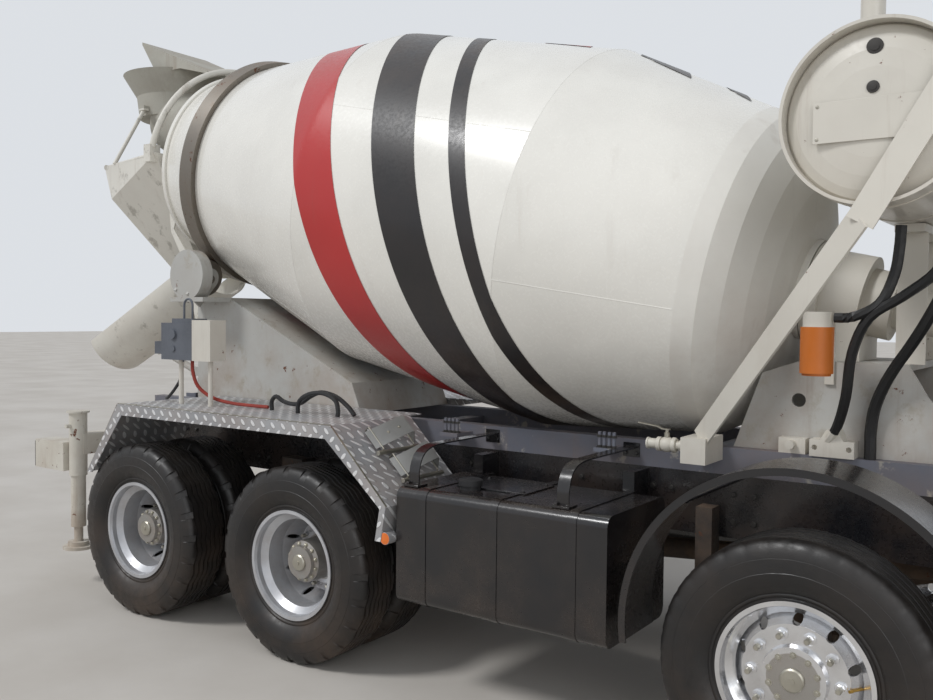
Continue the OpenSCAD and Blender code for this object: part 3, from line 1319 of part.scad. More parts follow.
// Doors: panel as thick as the wall, with its window pane
module door_panel() {
    t = cab_wall;
    difference() {
        xz_plate(cab_w / 2 - t, cab_w / 2) door_outline(0);
        xz_plate(cab_w / 2 - t - 1, cab_w / 2 + 1) door_window(0);
    }
    xz_plate(cab_w / 2 - 28, cab_w / 2 - 20) door_window(-seat);
    box([door_x0 + 60, cab_w / 2 - 1, 1780], [door_x0 + 220, cab_w / 2 + 24, 1810]);
    for (z = door_hinge_zs) difference() {
        union() {
            rod_z(door_x1, door_pin_y, z - 17 + seat, z + 17 - seat, 12);
            box([door_x1 - 50, cab_w / 2 - 1, z - 17 + seat], [door_x1, door_pin_y + 4, z + 17 - seat]);
        }
        rod_z(door_x1, door_pin_y, z - 20, z + 20, 6 + run_c);
    }
}
module door_left() { color([0.93, 0.93, 0.9]) door_panel(); }
module door_right() { color([0.93, 0.93, 0.9]) right_side() door_panel(); }

chassis_frame();
subframe();
front_axles();
rear_axles();
leaf_springs();
powertrain();
front_bumper();
mudguards();
rear_fenders();
side_tanks();
rear_beam();
front_pedestal();
drum_gearbox();
rear_pedestal();
water_tank();
tank_frame();
hydraulics();
intake_stack();
charge_hopper();
discharge_collector();
control_box();
ladder();
drum();
mixing_blades();
roller_left();
roller_right();
chute_turret();
chute();
jack_barrel();
jack_rod();
stabilizer_leg_left();
stabilizer_leg_right();
knuckle_1_left();
knuckle_1_right();
knuckle_2_left();
knuckle_2_right();
track_rod_1();
track_rod_2();
rim_1_left();
rim_1_right();
rim_2_left();
rim_2_right();
rims_3_left();
rims_3_right();
rims_4_left();
rims_4_right();
tyre_1_left();
tyre_1_right();
tyre_2_left();
tyre_2_right();
tyres_3_left();
tyres_3_right();
tyres_4_left();
tyres_4_right();
cab_shell();
cab_glass();
cab_interior();
cab_trim();
door_left();
door_right();
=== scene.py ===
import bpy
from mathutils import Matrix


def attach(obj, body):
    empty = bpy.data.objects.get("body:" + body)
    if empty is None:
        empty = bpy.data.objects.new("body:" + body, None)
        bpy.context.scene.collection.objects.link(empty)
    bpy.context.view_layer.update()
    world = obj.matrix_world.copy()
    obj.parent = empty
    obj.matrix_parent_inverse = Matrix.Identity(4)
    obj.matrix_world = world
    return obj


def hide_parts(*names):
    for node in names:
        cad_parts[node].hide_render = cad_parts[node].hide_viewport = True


bl_info = {
    "name": "Concrete Mixer Truck Dressing",
    "version": (1, 0, 0),
    "blender": (4, 5, 0),
    "location": "View3D > Sidebar > Mixer Truck",
    "description": "Dresses the solid model of a mixer truck with paint, treaded tyres, seats and fittings",
    "category": "Object",
}

import math

import bmesh
import bpy
from bpy.props import FloatProperty, FloatVectorProperty, IntProperty, PointerProperty
from mathutils import Matrix, Vector

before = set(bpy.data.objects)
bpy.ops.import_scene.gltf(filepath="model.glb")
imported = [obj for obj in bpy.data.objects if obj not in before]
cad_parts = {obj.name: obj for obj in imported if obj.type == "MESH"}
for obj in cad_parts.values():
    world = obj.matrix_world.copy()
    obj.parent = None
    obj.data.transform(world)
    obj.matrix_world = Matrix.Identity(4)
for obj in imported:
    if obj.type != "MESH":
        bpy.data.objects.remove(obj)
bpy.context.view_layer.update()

# Places on the truck, in metres, from the solid model
AXLE_X = {1: 3.110, 2: 1.410, 3: -1.250, 4: -2.600}
AXLE_Z = 0.535
WHEEL_Y = 1.090
TWIN_Y = 0.920
TWIN_GAP = 0.340
TREAD_R = 0.5350
STUD_RING = 0.1675
RAIL_Y = 0.430
SUB_TOP = 1.280
SUB_BOLT_Y = 0.550
FUEL_TOP = 1.0465
DRUM_POINT = Vector((-1.100, 0.0, 2.538))
DRUM_TILT = math.radians(12.6)
BELLY_R = 1.055
BELLY_BACK, BELLY_FRONT = -0.30, 1.09
TANK_X = 1.635
TANK_Z = 2.640
TANK_R = 0.335
SEAT_Y = 0.73
HEAD_LAMP_X = 4.5435
TAIL_LAMP_X = -3.970
SIDES = (("left", 1), ("right", -1))
UP = (0, 0, 1)


def srgb(red, green, blue):
    """A colour given as 0 to 255, in the linear values that the shaders take."""
    return tuple(((c / 255 + 0.055) / 1.055) ** 2.4 if c > 10 else c / 255 / 12.92
                 for c in (red, green, blue))


def colour_property(name, description, red, green, blue):
    return FloatVectorProperty(name=name, description=description, subtype="COLOR", size=3, min=0.0, max=1.0,
                               default=srgb(red, green, blue))


def length_property(name, description, default, low, high):
    return FloatProperty(name=name, description=description, default=default, min=low, max=high,
                         unit="LENGTH")


class TruckColours(bpy.types.PropertyGroup):
    """Colours of the truck's finishes."""

    drum: colour_property("Drum", "Gloss paint of the mixing drum", 240, 238, 231)
    stripe_red: colour_property("Red Stripe", "Red helical stripe on the drum", 186, 44, 44)
    stripe_dark: colour_property("Dark Stripe", "Dark helical stripes on the drum", 30, 28, 30)
    chassis: colour_property("Chassis", "Gloss paint of the chassis rails and tanks", 24, 25, 29)
    subframe: colour_property("Subframe", "Paint of the mixer subframe", 108, 112, 124)
    cab: colour_property("Cab", "Paint of the cab", 232, 230, 224)
    # Pale paint of the pedestals and the turret, darkened to a grey by painted shade
    pedestal_in_shade: colour_property("Pedestals", "Paint of the pedestals and the turret", 188, 188, 184)
    stay: colour_property("Tank Stays", "Paint of the slanted tank stays", 216, 212, 202)
    filter: colour_property("Filter", "Paint of the oil filter's bowl", 206, 112, 34)
    dust: colour_property("Dust", "Dry clay dust that lies on the truck", 150, 122, 98)
    rust: colour_property("Rust", "Rust at worn edges and chips", 104, 60, 38)
    cement: colour_property("Cement", "Dried cement on the discharge end", 176, 172, 162)


class TruckSizes(bpy.types.PropertyGroup):
    """Sizes of the pieces that this script adds."""

    tread_depth: length_property("Tread Depth", "Depth of the tyre grooves", 0.014, 0.004, 0.02)
    tread_steps: IntProperty(
        name="Tread Steps", description="Divisions around a tyre", default=144, min=72, max=216)
    stripe_width: length_property("Stripe Width", "Width of the red stripe along the drum", 0.36, 0.1, 0.6)
    stripe_turn: FloatProperty(
        name="Stripe Turn", description="Angle that a stripe runs around the drum",
        default=math.radians(205), min=1.0, max=6.0, subtype="ANGLE")
    bolt_radius: length_property("Bolt Radius", "Radius of the chassis bolt heads", 0.012, 0.006, 0.02)


class TruckView(bpy.types.PropertyGroup):
    """Place and aim of the camera."""

    place: FloatVectorProperty(name="Place", description="Where the camera stands", subtype="TRANSLATION",
                               size=3, default=(2.368, -4.726, 1.893))
    heading: FloatProperty(
        name="Heading", description="Turn of the view from the truck's left", default=0.612, subtype="ANGLE")
    pitch: FloatProperty(name="Pitch", description="Upward tilt of the view", default=-0.037, subtype="ANGLE")
    roll: FloatProperty(name="Roll", description="Roll of the view", default=0.010, subtype="ANGLE")
    lens: FloatProperty(name="Lens", description="Focal length", default=35.70, min=10.0, max=200.0)


# Finishes made here, by name: the solid model has plain materials of the same names

FINISHES = {}


class Finish:
    """Builds one procedural material."""

    def __init__(self, name):
        self.material = FINISHES[name] = bpy.data.materials.new(f"{name}_finish")
        self.material.use_nodes = True
        tree = self.material.node_tree
        self.nodes, self.links = tree.nodes, tree.links
        self.shader = self.nodes["Principled BSDF"]
        self.place = self.nodes.new("ShaderNodeTexCoord").outputs["Object"]
        self.tones = bpy.context.scene.truck_colours

    def put(self, socket, value):
        """Links a socket, or sets a number or a colour."""
        if isinstance(value, bpy.types.NodeSocket):
            self.links.new(value, socket)
        elif isinstance(value, (int, float)):
            socket.default_value = value
        else:
            socket.default_value = (*value, 1.0)

    def math(self, operation, a, b=0.0, clamp=False):
        node = self.nodes.new("ShaderNodeMath")
        node.operation = operation
        node.use_clamp = clamp
        self.put(node.inputs[0], a)
        self.put(node.inputs[1], b)
        return node.outputs[0]

    def times(self, a, b, clamp=False):
        return self.math("MULTIPLY", a, b, clamp)

    def plus(self, a, b, clamp=False):
        return self.math("ADD", a, b, clamp)

    def minus(self, a, b):
        return self.math("SUBTRACT", a, b)

    def wave(self, value, rate):
        return self.math("SINE", self.times(value, rate))

    def scaled(self, factors, offset=(0, 0, 0)):
        node = self.nodes.new("ShaderNodeMapping")
        self.links.new(self.place, node.inputs["Vector"])
        node.inputs["Location"].default_value = offset
        node.inputs["Scale"].default_value = factors
        return node.outputs[0]

    def noise(self, scale, detail, rough=0.55, vector=None):
        node = self.nodes.new("ShaderNodeTexNoise")
        self.links.new(vector or self.place, node.inputs["Vector"])
        for key, number in (("Scale", scale), ("Detail", detail), ("Roughness", rough)):
            node.inputs[key].default_value = number
        return node.outputs["Fac"]

    def span(self, value, low, high, to_low=0.0, to_high=1.0):
        node = self.nodes.new("ShaderNodeMapRange")
        node.interpolation_type = "SMOOTHSTEP"
        self.put(node.inputs["Value"], value)
        for key, number in (("From Min", low), ("From Max", high), ("To Min", to_low), ("To Max", to_high)):
            node.inputs[key].default_value = number
        return node.outputs[0]

    def part(self, vector, index):
        node = self.nodes.new("ShaderNodeSeparateXYZ")
        self.links.new(vector, node.inputs[0])
        return node.outputs[index]

    def axis(self, index):
        return self.part(self.place, index)

    def facing_up(self):
        normal = self.nodes.new("ShaderNodeNewGeometry").outputs["Normal"]
        return self.span(self.part(normal, 2), 0.35, 0.95)

    def blend(self, factor, a, b):
        node = self.nodes.new("ShaderNodeMix")
        node.data_type = "RGBA"
        self.put(node.inputs["Factor"], factor)
        self.put(node.inputs[6], a)
        self.put(node.inputs[7], b)
        return node.outputs[2]

    def mottled(self, scale, detail, dark, light):
        """Two colours in soft patches."""
        return self.blend(self.span(self.noise(scale, detail), 0.3, 0.7), dark, light)

    def grainy(self, scale, low, high):
        """A roughness that varies between two values."""
        return self.span(self.noise(scale, 3.0), 0.3, 0.7, low, high)

    def bump(self, height, strength, distance):
        node = self.nodes.new("ShaderNodeBump")
        node.inputs["Strength"].default_value = strength
        node.inputs["Distance"].default_value = distance
        self.put(node.inputs["Height"], height)
        return node.outputs[0]

    def surface(self, colour, roughness, metallic, normal):
        self.put(self.shader.inputs["Base Color"], colour)
        self.put(self.shader.inputs["Roughness"], roughness)
        self.shader.inputs["Metallic"].default_value = metallic
        self.links.new(normal, self.shader.inputs["Normal"])
        return self.material


def shade(colour, factor):
    return tuple(min(1.0, c * factor) for c in colour)


def painted(name, colour, roughness, dust, low, high, streaks, chips=0.0, cement=0.0, metallic=0.0,
            coat=0.0, orange_peel=0.05):
    """Paint with uneven gloss, dust, run-down streaks, chips and cement splashes."""
    f = Finish(name)
    base = f.mottled(1.3, 5.0, shade(colour, 0.93), shade(colour, 1.05))
    if streaks:
        runs = f.noise(9.0, 6.0, 0.7, f.scaled((1.0, 1.0, 0.07)))
        base = f.blend(f.times(f.span(runs, 0.55, 0.78), streaks), base, shade(f.tones.dust, 0.75))
    if cement:
        splash = f.span(f.noise(7.0, 8.0, 0.68, f.scaled((1.0, 1.0, 0.8), (3.1, 0.4, 1.7))),
                        0.60 - 0.16 * cement, 0.66)
        base = f.blend(f.times(splash, 0.85), base, f.tones.cement)
    ground = f.span(f.axis(2), low, high, 1.0, 0.12)
    patches = f.span(f.noise(3.0, 7.0, 0.65), 0.30, 0.72)
    settled = f.math("MAXIMUM", ground, f.times(f.facing_up(), 0.75))
    dusty = f.times(f.times(settled, patches), dust, clamp=True)
    base = f.blend(dusty, base, f.tones.dust)
    rough = f.plus(f.times(dusty, 0.6), f.grainy(55.0, roughness * 0.85, roughness * 1.2), clamp=True)
    height = f.noise(90.0, 2.0)
    if chips:
        worn = f.span(f.noise(14.0, 9.0, 0.72, f.scaled((1.0, 1.0, 1.0), (5.0, 2.0, 9.0))),
                      0.66 - 0.1 * chips, 0.69 - 0.1 * chips)
        base = f.blend(worn, base, f.tones.rust)
        rough = f.math("MAXIMUM", rough, f.times(worn, 0.8))
        height = f.minus(height, worn)
    f.shader.inputs["Coat Weight"].default_value = coat
    f.shader.inputs["Coat Roughness"].default_value = 0.12
    f.surface(base, rough, metallic, f.bump(height, orange_peel, 0.002))


# Mesh helpers


def turns(count, start=0.0):
    """Even angles around a circle; start is a share of one step."""
    return [2 * math.pi * (k + start) / count for k in range(count)]


class Shape:
    """Collects the faces of one piece, in the truck's frame."""

    def __init__(self):
        self.verts, self.faces, self.slots = [], [], []

    def add(self, verts, faces, slot):
        start = len(self.verts)
        self.verts += [tuple(v) for v in verts]
        self.faces += [tuple(i + start for i in face) for face in faces]
        self.slots += [slot] * len(faces)

    def rings(self, rings, slot=0, closed=True, caps=True):
        """Joins rings of equally many points, in order."""
        n = len(rings[0])
        faces = []
        for k in range(len(rings) - 1):
            for i in range(n if closed else n - 1):
                j = (i + 1) % n
                faces.append((k * n + i, k * n + j, (k + 1) * n + j, (k + 1) * n + i))
        if caps:
            faces.append(tuple(reversed(range(n))))
            faces.append(tuple((len(rings) - 1) * n + i for i in range(n)))
        self.add([p for ring in rings for p in ring], faces, slot)

    def block(self, corner, other, slot=0):
        """A box between two opposite corners, given in any order."""
        (x0, x1), (y0, y1), (z0, z1) = (sorted(pair) for pair in zip(corner, other))
        verts = [(x, y, z) for z in (z0, z1) for x, y in ((x0, y0), (x1, y0), (x1, y1), (x0, y1))]
        faces = [(0, 3, 2, 1), (4, 5, 6, 7), (0, 1, 5, 4), (1, 2, 6, 5), (2, 3, 7, 6), (3, 0, 4, 7)]
        self.add(verts, faces, slot)

    def turned(self, start, direction, profile, sides, slot=0):
        """A turned shape: profile is radius and distance along direction."""
        direction = Vector(direction).normalized()
        across = direction.orthogonal().normalized()
        other = direction.cross(across)
        rings = []
        for radius, along in profile:
            centre = Vector(start) + direction * along
            rings.append([centre + (across * math.cos(a) + other * math.sin(a)) * max(radius, 1e-5)
                          for a in turns(sides)])
        self.rings(rings, slot)

    def rod(self, a, b, radius, sides, slot=0):
        a, b = Vector(a), Vector(b)
        self.turned(a, b - a, [(radius, 0.0), (radius, (b - a).length)], sides, slot)

    def hex_bolt(self, at, direction, radius, height, slot=0):
        """A hexagon head on a washer, with a rounded top."""
        washer = radius * 1.45
        self.turned(at, direction, [(washer, 0.0), (washer, height * 0.22)], 14, slot)
        head = [(radius, height * 0.2), (radius, height * 0.85), (radius * 0.8, height)]
        self.turned(at, direction, head, 6, slot)

    def tube(self, points, radius, sides, slot=0, closed=False):
        """A round tube along points, without twist."""
        points = [Vector(p) for p in points]
        rings = []
        side = None
        last = len(points) - 1
        for i, point in enumerate(points):
            before = points[i - 1] if i or closed else point
            after = points[(i + 1) % len(points)] if i < last or closed else point
            along = (after - before).normalized()
            side = along.orthogonal() if side is None else side - along * side.dot(along)
            side.normalize()
            other = along.cross(side)
            rings.append([point + (side * math.cos(a) + other * math.sin(a)) * radius for a in turns(sides)])
        if closed:
            rings.append(rings[0])
        self.rings(rings, slot, caps=not closed)

    def strip(self, points, normals, width, thick, slot=0):
        """A flat bar along points, its broad side along normals."""
        rings = []
        last = len(points) - 1
        for i, (point, normal) in enumerate(zip(points, normals)):
            point, rise = Vector(point), Vector(normal).normalized()
            along = (Vector(points[min(i + 1, last)]) - Vector(points[max(i - 1, 0)])).normalized()
            half = along.cross(rise).normalized() * width / 2
            rise *= thick
            rings.append([point + half, point - half, point - half + rise, point + half + rise])
        self.rings(rings, slot)

    def build(self, name, body, finishes, bevel=0.0, sharp=35.0):
        """Makes the object, rides it on a body and names its finishes."""
        mesh = bpy.data.meshes.new(name)
        mesh.from_pydata(self.verts, [], self.faces)
        work = bmesh.new()
        work.from_mesh(mesh)
        bmesh.ops.recalc_face_normals(work, faces=work.faces)
        work.to_mesh(mesh)
        work.free()
        for finish in finishes:
            mesh.materials.append(FINISHES[finish])
        for polygon, index in zip(mesh.polygons, self.slots):
            polygon.material_index = index
        mesh.shade_smooth()
        mesh.set_sharp_from_angle(angle=math.radians(sharp))
        piece = bpy.data.objects.new(name, mesh)
        bpy.context.scene.collection.objects.link(piece)
        if bevel:
            rounding = piece.modifiers.new("Rounded Edges", "BEVEL")
            rounding.width = bevel
            rounding.segments = 2
            rounding.limit_method = "ANGLE"
            rounding.angle_limit = math.radians(40)
        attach(piece, body)
        return piece


def smooth_path(points, steps=6):
    """A Catmull-Rom curve through points."""
    points = [Vector(p) for p in points]
    ends = [points[0] * 2 - points[1]] + points + [points[-1] * 2 - points[-2]]
    path = []
    for i in range(1, len(ends) - 2):
        a, b, c, d = ends[i - 1:i + 3]
        for k in range(steps):
            t = k / steps
            path.append(0.5 * (2 * b + (c - a) * t + (2 * a - 5 * b + 4 * c - d) * t * t
                               + (3 * b - a - 3 * c + d) * t ** 3))
    return path + [points[-1]]


# The drum's shell, in its own axes

DRUM_AXIS = Vector((math.cos(DRUM_TILT), 0.0, -math.sin(DRUM_TILT)))
DRUM_UP = Vector((math.sin(DRUM_TILT), 0.0, math.cos(DRUM_TILT)))
SHELL_LINE = ((-2.02, 0.640), (-1.64, 0.722), (-1.52, 0.765), (BELLY_BACK, BELLY_R), (BELLY_FRONT, BELLY_R),
              (1.935, 0.840))


def shell_radius(station):
    for (s0, r0), (s1, r1) in zip(SHELL_LINE, SHELL_LINE[1:]):
        if station <= s1:
            return r0 + (r1 - r0) * (station - s0) / (s1 - s0)
    return SHELL_LINE[-1][1]


def around_drum(angle):
    """Direction away from the drum's axis: angle 0 is up and a quarter turn is the truck's right."""
    return DRUM_UP * math.cos(angle) + Vector((0.0, -1.0, 0.0)) * math.sin(angle)


def on_shell(station, angle, lift=0.0):
    return DRUM_POINT + DRUM_AXIS * station + around_drum(angle) * (shell_radius(station) + lift)


def shell_normal(station, angle):
    step = 0.01
    slope = (shell_radius(station + step) - shell_radius(station - step)) / (2 * step)
    return (around_drum(angle) - DRUM_AXIS * slope).normalized()


# Finishes


def tread_plate_finish():
    """Aluminium tread plate: raised lozenges in two directions, dulled by dust; their tops painted
    near-white, partly polish from wear and partly a painted highlight.
    """
    f = Finish("tread_plate")
    x, y = f.axis(0), f.plus(f.axis(1), f.axis(2))
    per_metre = 0.7071 / 0.056
    marks = []
    for turn in (1.0, -1.0):
        slant = f.times(y, turn)
        u, v = f.times(f.plus(x, slant), per_metre), f.times(f.minus(x, slant), per_metre)
        reach = []
        for way, stretch in ((u, 2.3), (v, 4.8)):
            off_middle = f.times(f.minus(f.math("FRACT", way), 0.5), stretch)
            reach.append(f.math("POWER", f.math("ABSOLUTE", off_middle), 2.0))
        parity = f.math("FRACT", f.times(f.plus(f.math("FLOOR", u), f.math("FLOOR", v)), 0.5))
        pick = f.math("LESS_THAN" if turn > 0 else "GREATER_THAN", parity, 0.25)
        marks.append(f.times(f.span(f.plus(*reach), 1.0, 0.55), pick))
    raised = f.math("MAXIMUM", *marks)
    patches = f.span(f.noise(4.0, 7.0, 0.65), 0.3, 0.75)
    dusty = f.times(patches, f.minus(0.75, f.times(raised, 0.45)), clamp=True)
    # Near-white lozenge tops: partly polish from wear, partly a painted highlight
    base = f.blend(raised, f.mottled(2.2, 4.0, srgb(156, 158, 162), srgb(178, 180, 183)), srgb(234, 235, 236))
    base = f.blend(f.times(dusty, 0.40), base, shade(f.tones.dust, 1.25))
    f.surface(base, f.plus(f.times(dusty, 0.35), 0.34), 0.35, f.bump(raised, 1.0, 0.006))


def tyre_finish(name, dust):
    """Rubber, lighter where dust has settled in the tread and on the sidewall."""
    f = Finish(name)
    base = f.mottled(2.0, 6.0, srgb(19, 19, 20), srgb(28, 27, 27))
    low = f.span(f.axis(2), 0.05, 0.75, 1.0, 0.25)
    dusty = f.times(f.times(f.span(f.noise(3.0, 8.0, 0.6), 0.30, 0.80), low), dust)
    base = f.blend(dusty, base, shade(f.tones.dust, 0.80))
    rough = f.plus(f.grainy(30.0, 0.36, 0.52), f.times(dusty, 0.5), clamp=True)
    f.surface(base, rough, 0.0, f.bump(f.noise(160.0, 3.0), 0.25, 0.0015))


def wheel_finish(name, colour, roughness, metallic, dust, hub, hub_radius):
    """Wheel metal with dust around the nuts and a differently coloured hub."""
    f = Finish(name)
    reaches = []
    for centre in AXLE_X.values():
        dx, dz = f.minus(f.axis(0), centre), f.minus(f.axis(2), AXLE_Z)
        reaches.append(f.math("SQRT", f.plus(f.times(dx, dx), f.times(dz, dz))))
    radius = reaches[0]
    for other in reaches[1:]:
        radius = f.math("MINIMUM", radius, other)
    base = f.mottled(6.0, 6.0, shade(colour, 0.88), shade(colour, 1.06))
    base = f.blend(f.span(radius, hub_radius + 0.002, hub_radius - 0.002), base, hub)
    patches = f.span(f.noise(9.0, 8.0, 0.7), 0.34, 0.72)
    dusty = f.times(patches, f.span(radius, 0.30, 0.16, dust * 0.5, dust), clamp=True)
    base = f.blend(dusty, base, shade(f.tones.dust, 0.95))
    rough = f.plus(f.times(dusty, 0.5), f.grainy(70.0, roughness * 0.8, roughness * 1.25), clamp=True)
    f.surface(base, rough, metallic, f.bump(f.noise(45.0, 3.0), 0.06, 0.002))


def simple_finish(name, colour, roughness, metallic, bump=0.15, spread=0.12):
    """A plain finish with a fine grain and slightly uneven colour."""
    f = Finish(name)
    base = f.mottled(5.0, 6.0, shade(colour, 1 - spread), shade(colour, 1 + spread))
    rough = f.grainy(60.0, roughness * 0.85, min(1.0, roughness * 1.15))
    f.surface(base, rough, metallic, f.bump(f.noise(180.0, 3.0), bump, 0.0012))


def woven_finish(name, colour):
    """Woven seat cloth."""
    f = Finish(name)
    weave = f.times(f.wave(f.axis(1), 1400.0), f.wave(f.plus(f.axis(0), f.axis(2)), 1400.0))
    base = f.blend(f.span(weave, -1.0, 1.0), shade(colour, 0.75), shade(colour, 1.2))
    f.surface(base, 0.92, 0.0, f.bump(weave, 0.5, 0.001))


def glass_finish():
    """Tinted window glass with a film of dust."""
    f = Finish("tinted_glass")
    f.shader.inputs["Transmission Weight"].default_value = 0.86
    f.shader.inputs["IOR"].default_value = 1.45
    film = f.times(f.span(f.noise(4.0, 7.0, 0.65), 0.35, 0.8), 0.25)
    f.surface(f.blend(film, srgb(120, 140, 146), f.tones.dust), f.plus(film, 0.04), 0.0,
              f.bump(f.noise(2.0, 2.0), 0.02, 0.002))


def lamp_finish(name, colour):
    """Ribbed lamp lens."""
    f = Finish(name)
    f.shader.inputs["Coat Weight"].default_value = 0.8
    base = f.mottled(12.0, 4.0, shade(colour, 0.85), shade(colour, 1.1))
    f.surface(base, 0.18, 0.0, f.bump(f.wave(f.axis(1), 900.0), 0.35, 0.001))


# Finish of each solid part, by how its name starts; the first that fits counts
FINISH_OF = {
    "chassis_frame": "chassis_black", "subframe": "subframe_grey", "powertrain": "cast_dark",
    "front_axles": "axle_black", "rear_axles": "axle_black", "leaf_springs": "axle_black",
    "knuckle": "axle_black", "track_rod": "axle_black", "front_bumper": "white_paint",
    "mudguards": "tank_black", "side_tanks": "tank_black", "rear_fenders": "tread_plate",
    "rear_beam": "worn_white", "stabilizer": "worn_white", "front_pedestal": "pedestal_grey",
    "rear_pedestal": "pedestal_grey", "chute_turret": "pedestal_grey", "jack_barrel": "pedestal_grey",
    "drum_gearbox": "stay_grey", "tank_frame": "stay_grey", "control_box": "stay_grey",
    "water_tank": "tank_white", "hydraulics": "filter_orange", "intake_stack": "black_plastic",
    "charge_hopper": "cement_crust", "mixing_blades": "cement_crust", "ladder": "white_paint",
    "discharge_collector": "collector_white", "chute": "collector_white", "drum": "drum_white",
    "jack_rod": "steel_worn", "roller": "steel_worn", "cab_shell": "white_paint", "door": "white_paint",
    "cab_glass": "tinted_glass", "cab_interior": "black_plastic", "cab_trim": "black_plastic",
    "rim_": "rim_bright", "rims_": "rim_silver", "tyre": "tyre_rubber",
}


class TRUCK_OT_finishes(bpy.types.Operator):
    """Makes the finishes and puts them on the solid model's parts"""

    bl_idname = "truck.finishes"
    bl_label = "Finishes"

    def execute(self, context):
        self.paints(context.scene.truck_colours)
        tread_plate_finish()
        tyre_finish("tyre_rubber", 0.26)
        wheel_finish("rim_silver", srgb(196, 198, 202), 0.36, 0.55, 0.30, srgb(158, 156, 152), 0.128)
        wheel_finish("rim_bright", srgb(226, 227, 229), 0.18, 0.9, 0.14, srgb(178, 176, 172), 0.100)
        for name, colour, roughness, metallic in (
            ("black_plastic", (34, 34, 36), 0.6, 0.0), ("dull_alloy", (168, 168, 166), 0.42, 0.6),
            ("box_grey", (92, 96, 104), 0.55, 0.0), ("hose_red", (150, 52, 40), 0.5, 0.0),
            ("hose_rubber", (28, 28, 29), 0.5, 0.0), ("dark_steel", (70, 68, 66), 0.45, 0.7),
            ("zinc", (176, 172, 160), 0.38, 0.85), ("brass", (176, 140, 70), 0.35, 0.9),
        ):
            simple_finish(name, srgb(*colour), roughness, metallic)
        simple_finish("mirror_glass", srgb(200, 204, 208), 0.03, 1.0, bump=0.0, spread=0.02)
        woven_finish("seat_cloth", srgb(64, 66, 72))
        glass_finish()
        lamp_finish("lens_orange", srgb(226, 112, 24))
        lamp_finish("lens_red", srgb(160, 22, 20))
        lamp_finish("lens_clear", srgb(214, 216, 218))
        for name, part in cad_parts.items():
            finish = next(finish for start, finish in FINISH_OF.items() if name.startswith(start))
            part.data.materials.clear()
            part.data.materials.append(FINISHES[finish])
        paint_regions()
        made = set(FINISHES.values())
        plain = [name for name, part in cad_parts.items() if not made.issuperset(part.data.materials)]
        if plain:
            raise RuntimeError(f"no finish on {', '.join(plain)}")
        return {"FINISHED"}

    def paints(self, tones):
        painted("drum_white", tones.drum, 0.24, dust=0.10, low=1.3, high=2.2, streaks=0.10, coat=0.4,
                orange_peel=0.015)
        # The drum's front head: the drum paint darkened and dustier, partly real dust and partly painted
        # shade from the water tank above
        painted("drum_head_dust_and_shade", shade(tones.drum, 0.95), 0.46, dust=0.28, low=1.3, high=2.6, streaks=0.2)
        painted("stripe_red", tones.stripe_red, 0.34, dust=0.25, low=1.3, high=2.0, streaks=0.12, coat=0.2)
        painted("stripe_dark", tones.stripe_dark, 0.38, dust=0.22, low=1.3, high=2.0, streaks=0.1, coat=0.2)
        painted("chassis_black", tones.chassis, 0.26, dust=0.20, low=0.3, high=1.5, streaks=0.08, coat=0.3)
        painted("tank_black", shade(tones.chassis, 0.8), 0.22, dust=0.10, low=0.3, high=1.3, streaks=0.04,
                coat=0.4)
        painted("axle_black", srgb(44, 43, 43), 0.55, dust=0.6, low=0.3, high=1.5, streaks=0.3, chips=0.5)
        painted("cast_dark", srgb(62, 60, 58), 0.65, dust=0.8, low=0.3, high=1.6, streaks=0.3, chips=0.4)
        painted("subframe_grey", tones.subframe, 0.48, dust=0.5, low=0.8, high=1.5, streaks=0.3, cement=0.1)
        painted("white_paint", tones.cab, 0.30, dust=0.24, low=0.4, high=1.9, streaks=0.22, coat=0.2)
        painted("worn_white", srgb(212, 208, 197), 0.5, dust=0.6, low=0.2, high=1.5, streaks=0.45, chips=0.4)
        painted("tank_white", srgb(214, 210, 200), 0.33, dust=0.35, low=1.8, high=2.7, streaks=0.35,
                coat=0.2, chips=0.05)
        # Pedestals, turret and jack: pale paint darkened by painted shade, with real dust, streaks, chips and
        # cement
        painted("pedestal_grey", tones.pedestal_in_shade, 0.5, dust=0.5, low=1.1, high=2.4, streaks=0.45,
                cement=0.25, chips=0.25)
        painted("collector_white", srgb(226, 223, 214), 0.42, dust=0.35, low=1.1, high=2.4, streaks=0.35,
                cement=0.25)
        painted("cement_crust", srgb(184, 182, 172), 0.8, dust=0.4, low=1.0, high=3.0, streaks=0.6,
                cement=1.0, orange_peel=0.5)
        painted("stay_grey", tones.stay, 0.45, dust=0.2, low=1.2, high=2.4, streaks=0.2, chips=0.05)
        painted("steel_worn", srgb(132, 126, 118), 0.42, dust=0.5, low=0.2, high=2.2, streaks=0.4,
                chips=0.5, metallic=0.7)
        painted("filter_orange", tones.filter, 0.42, dust=0.35, low=1.2, high=1.9, streaks=0.35)


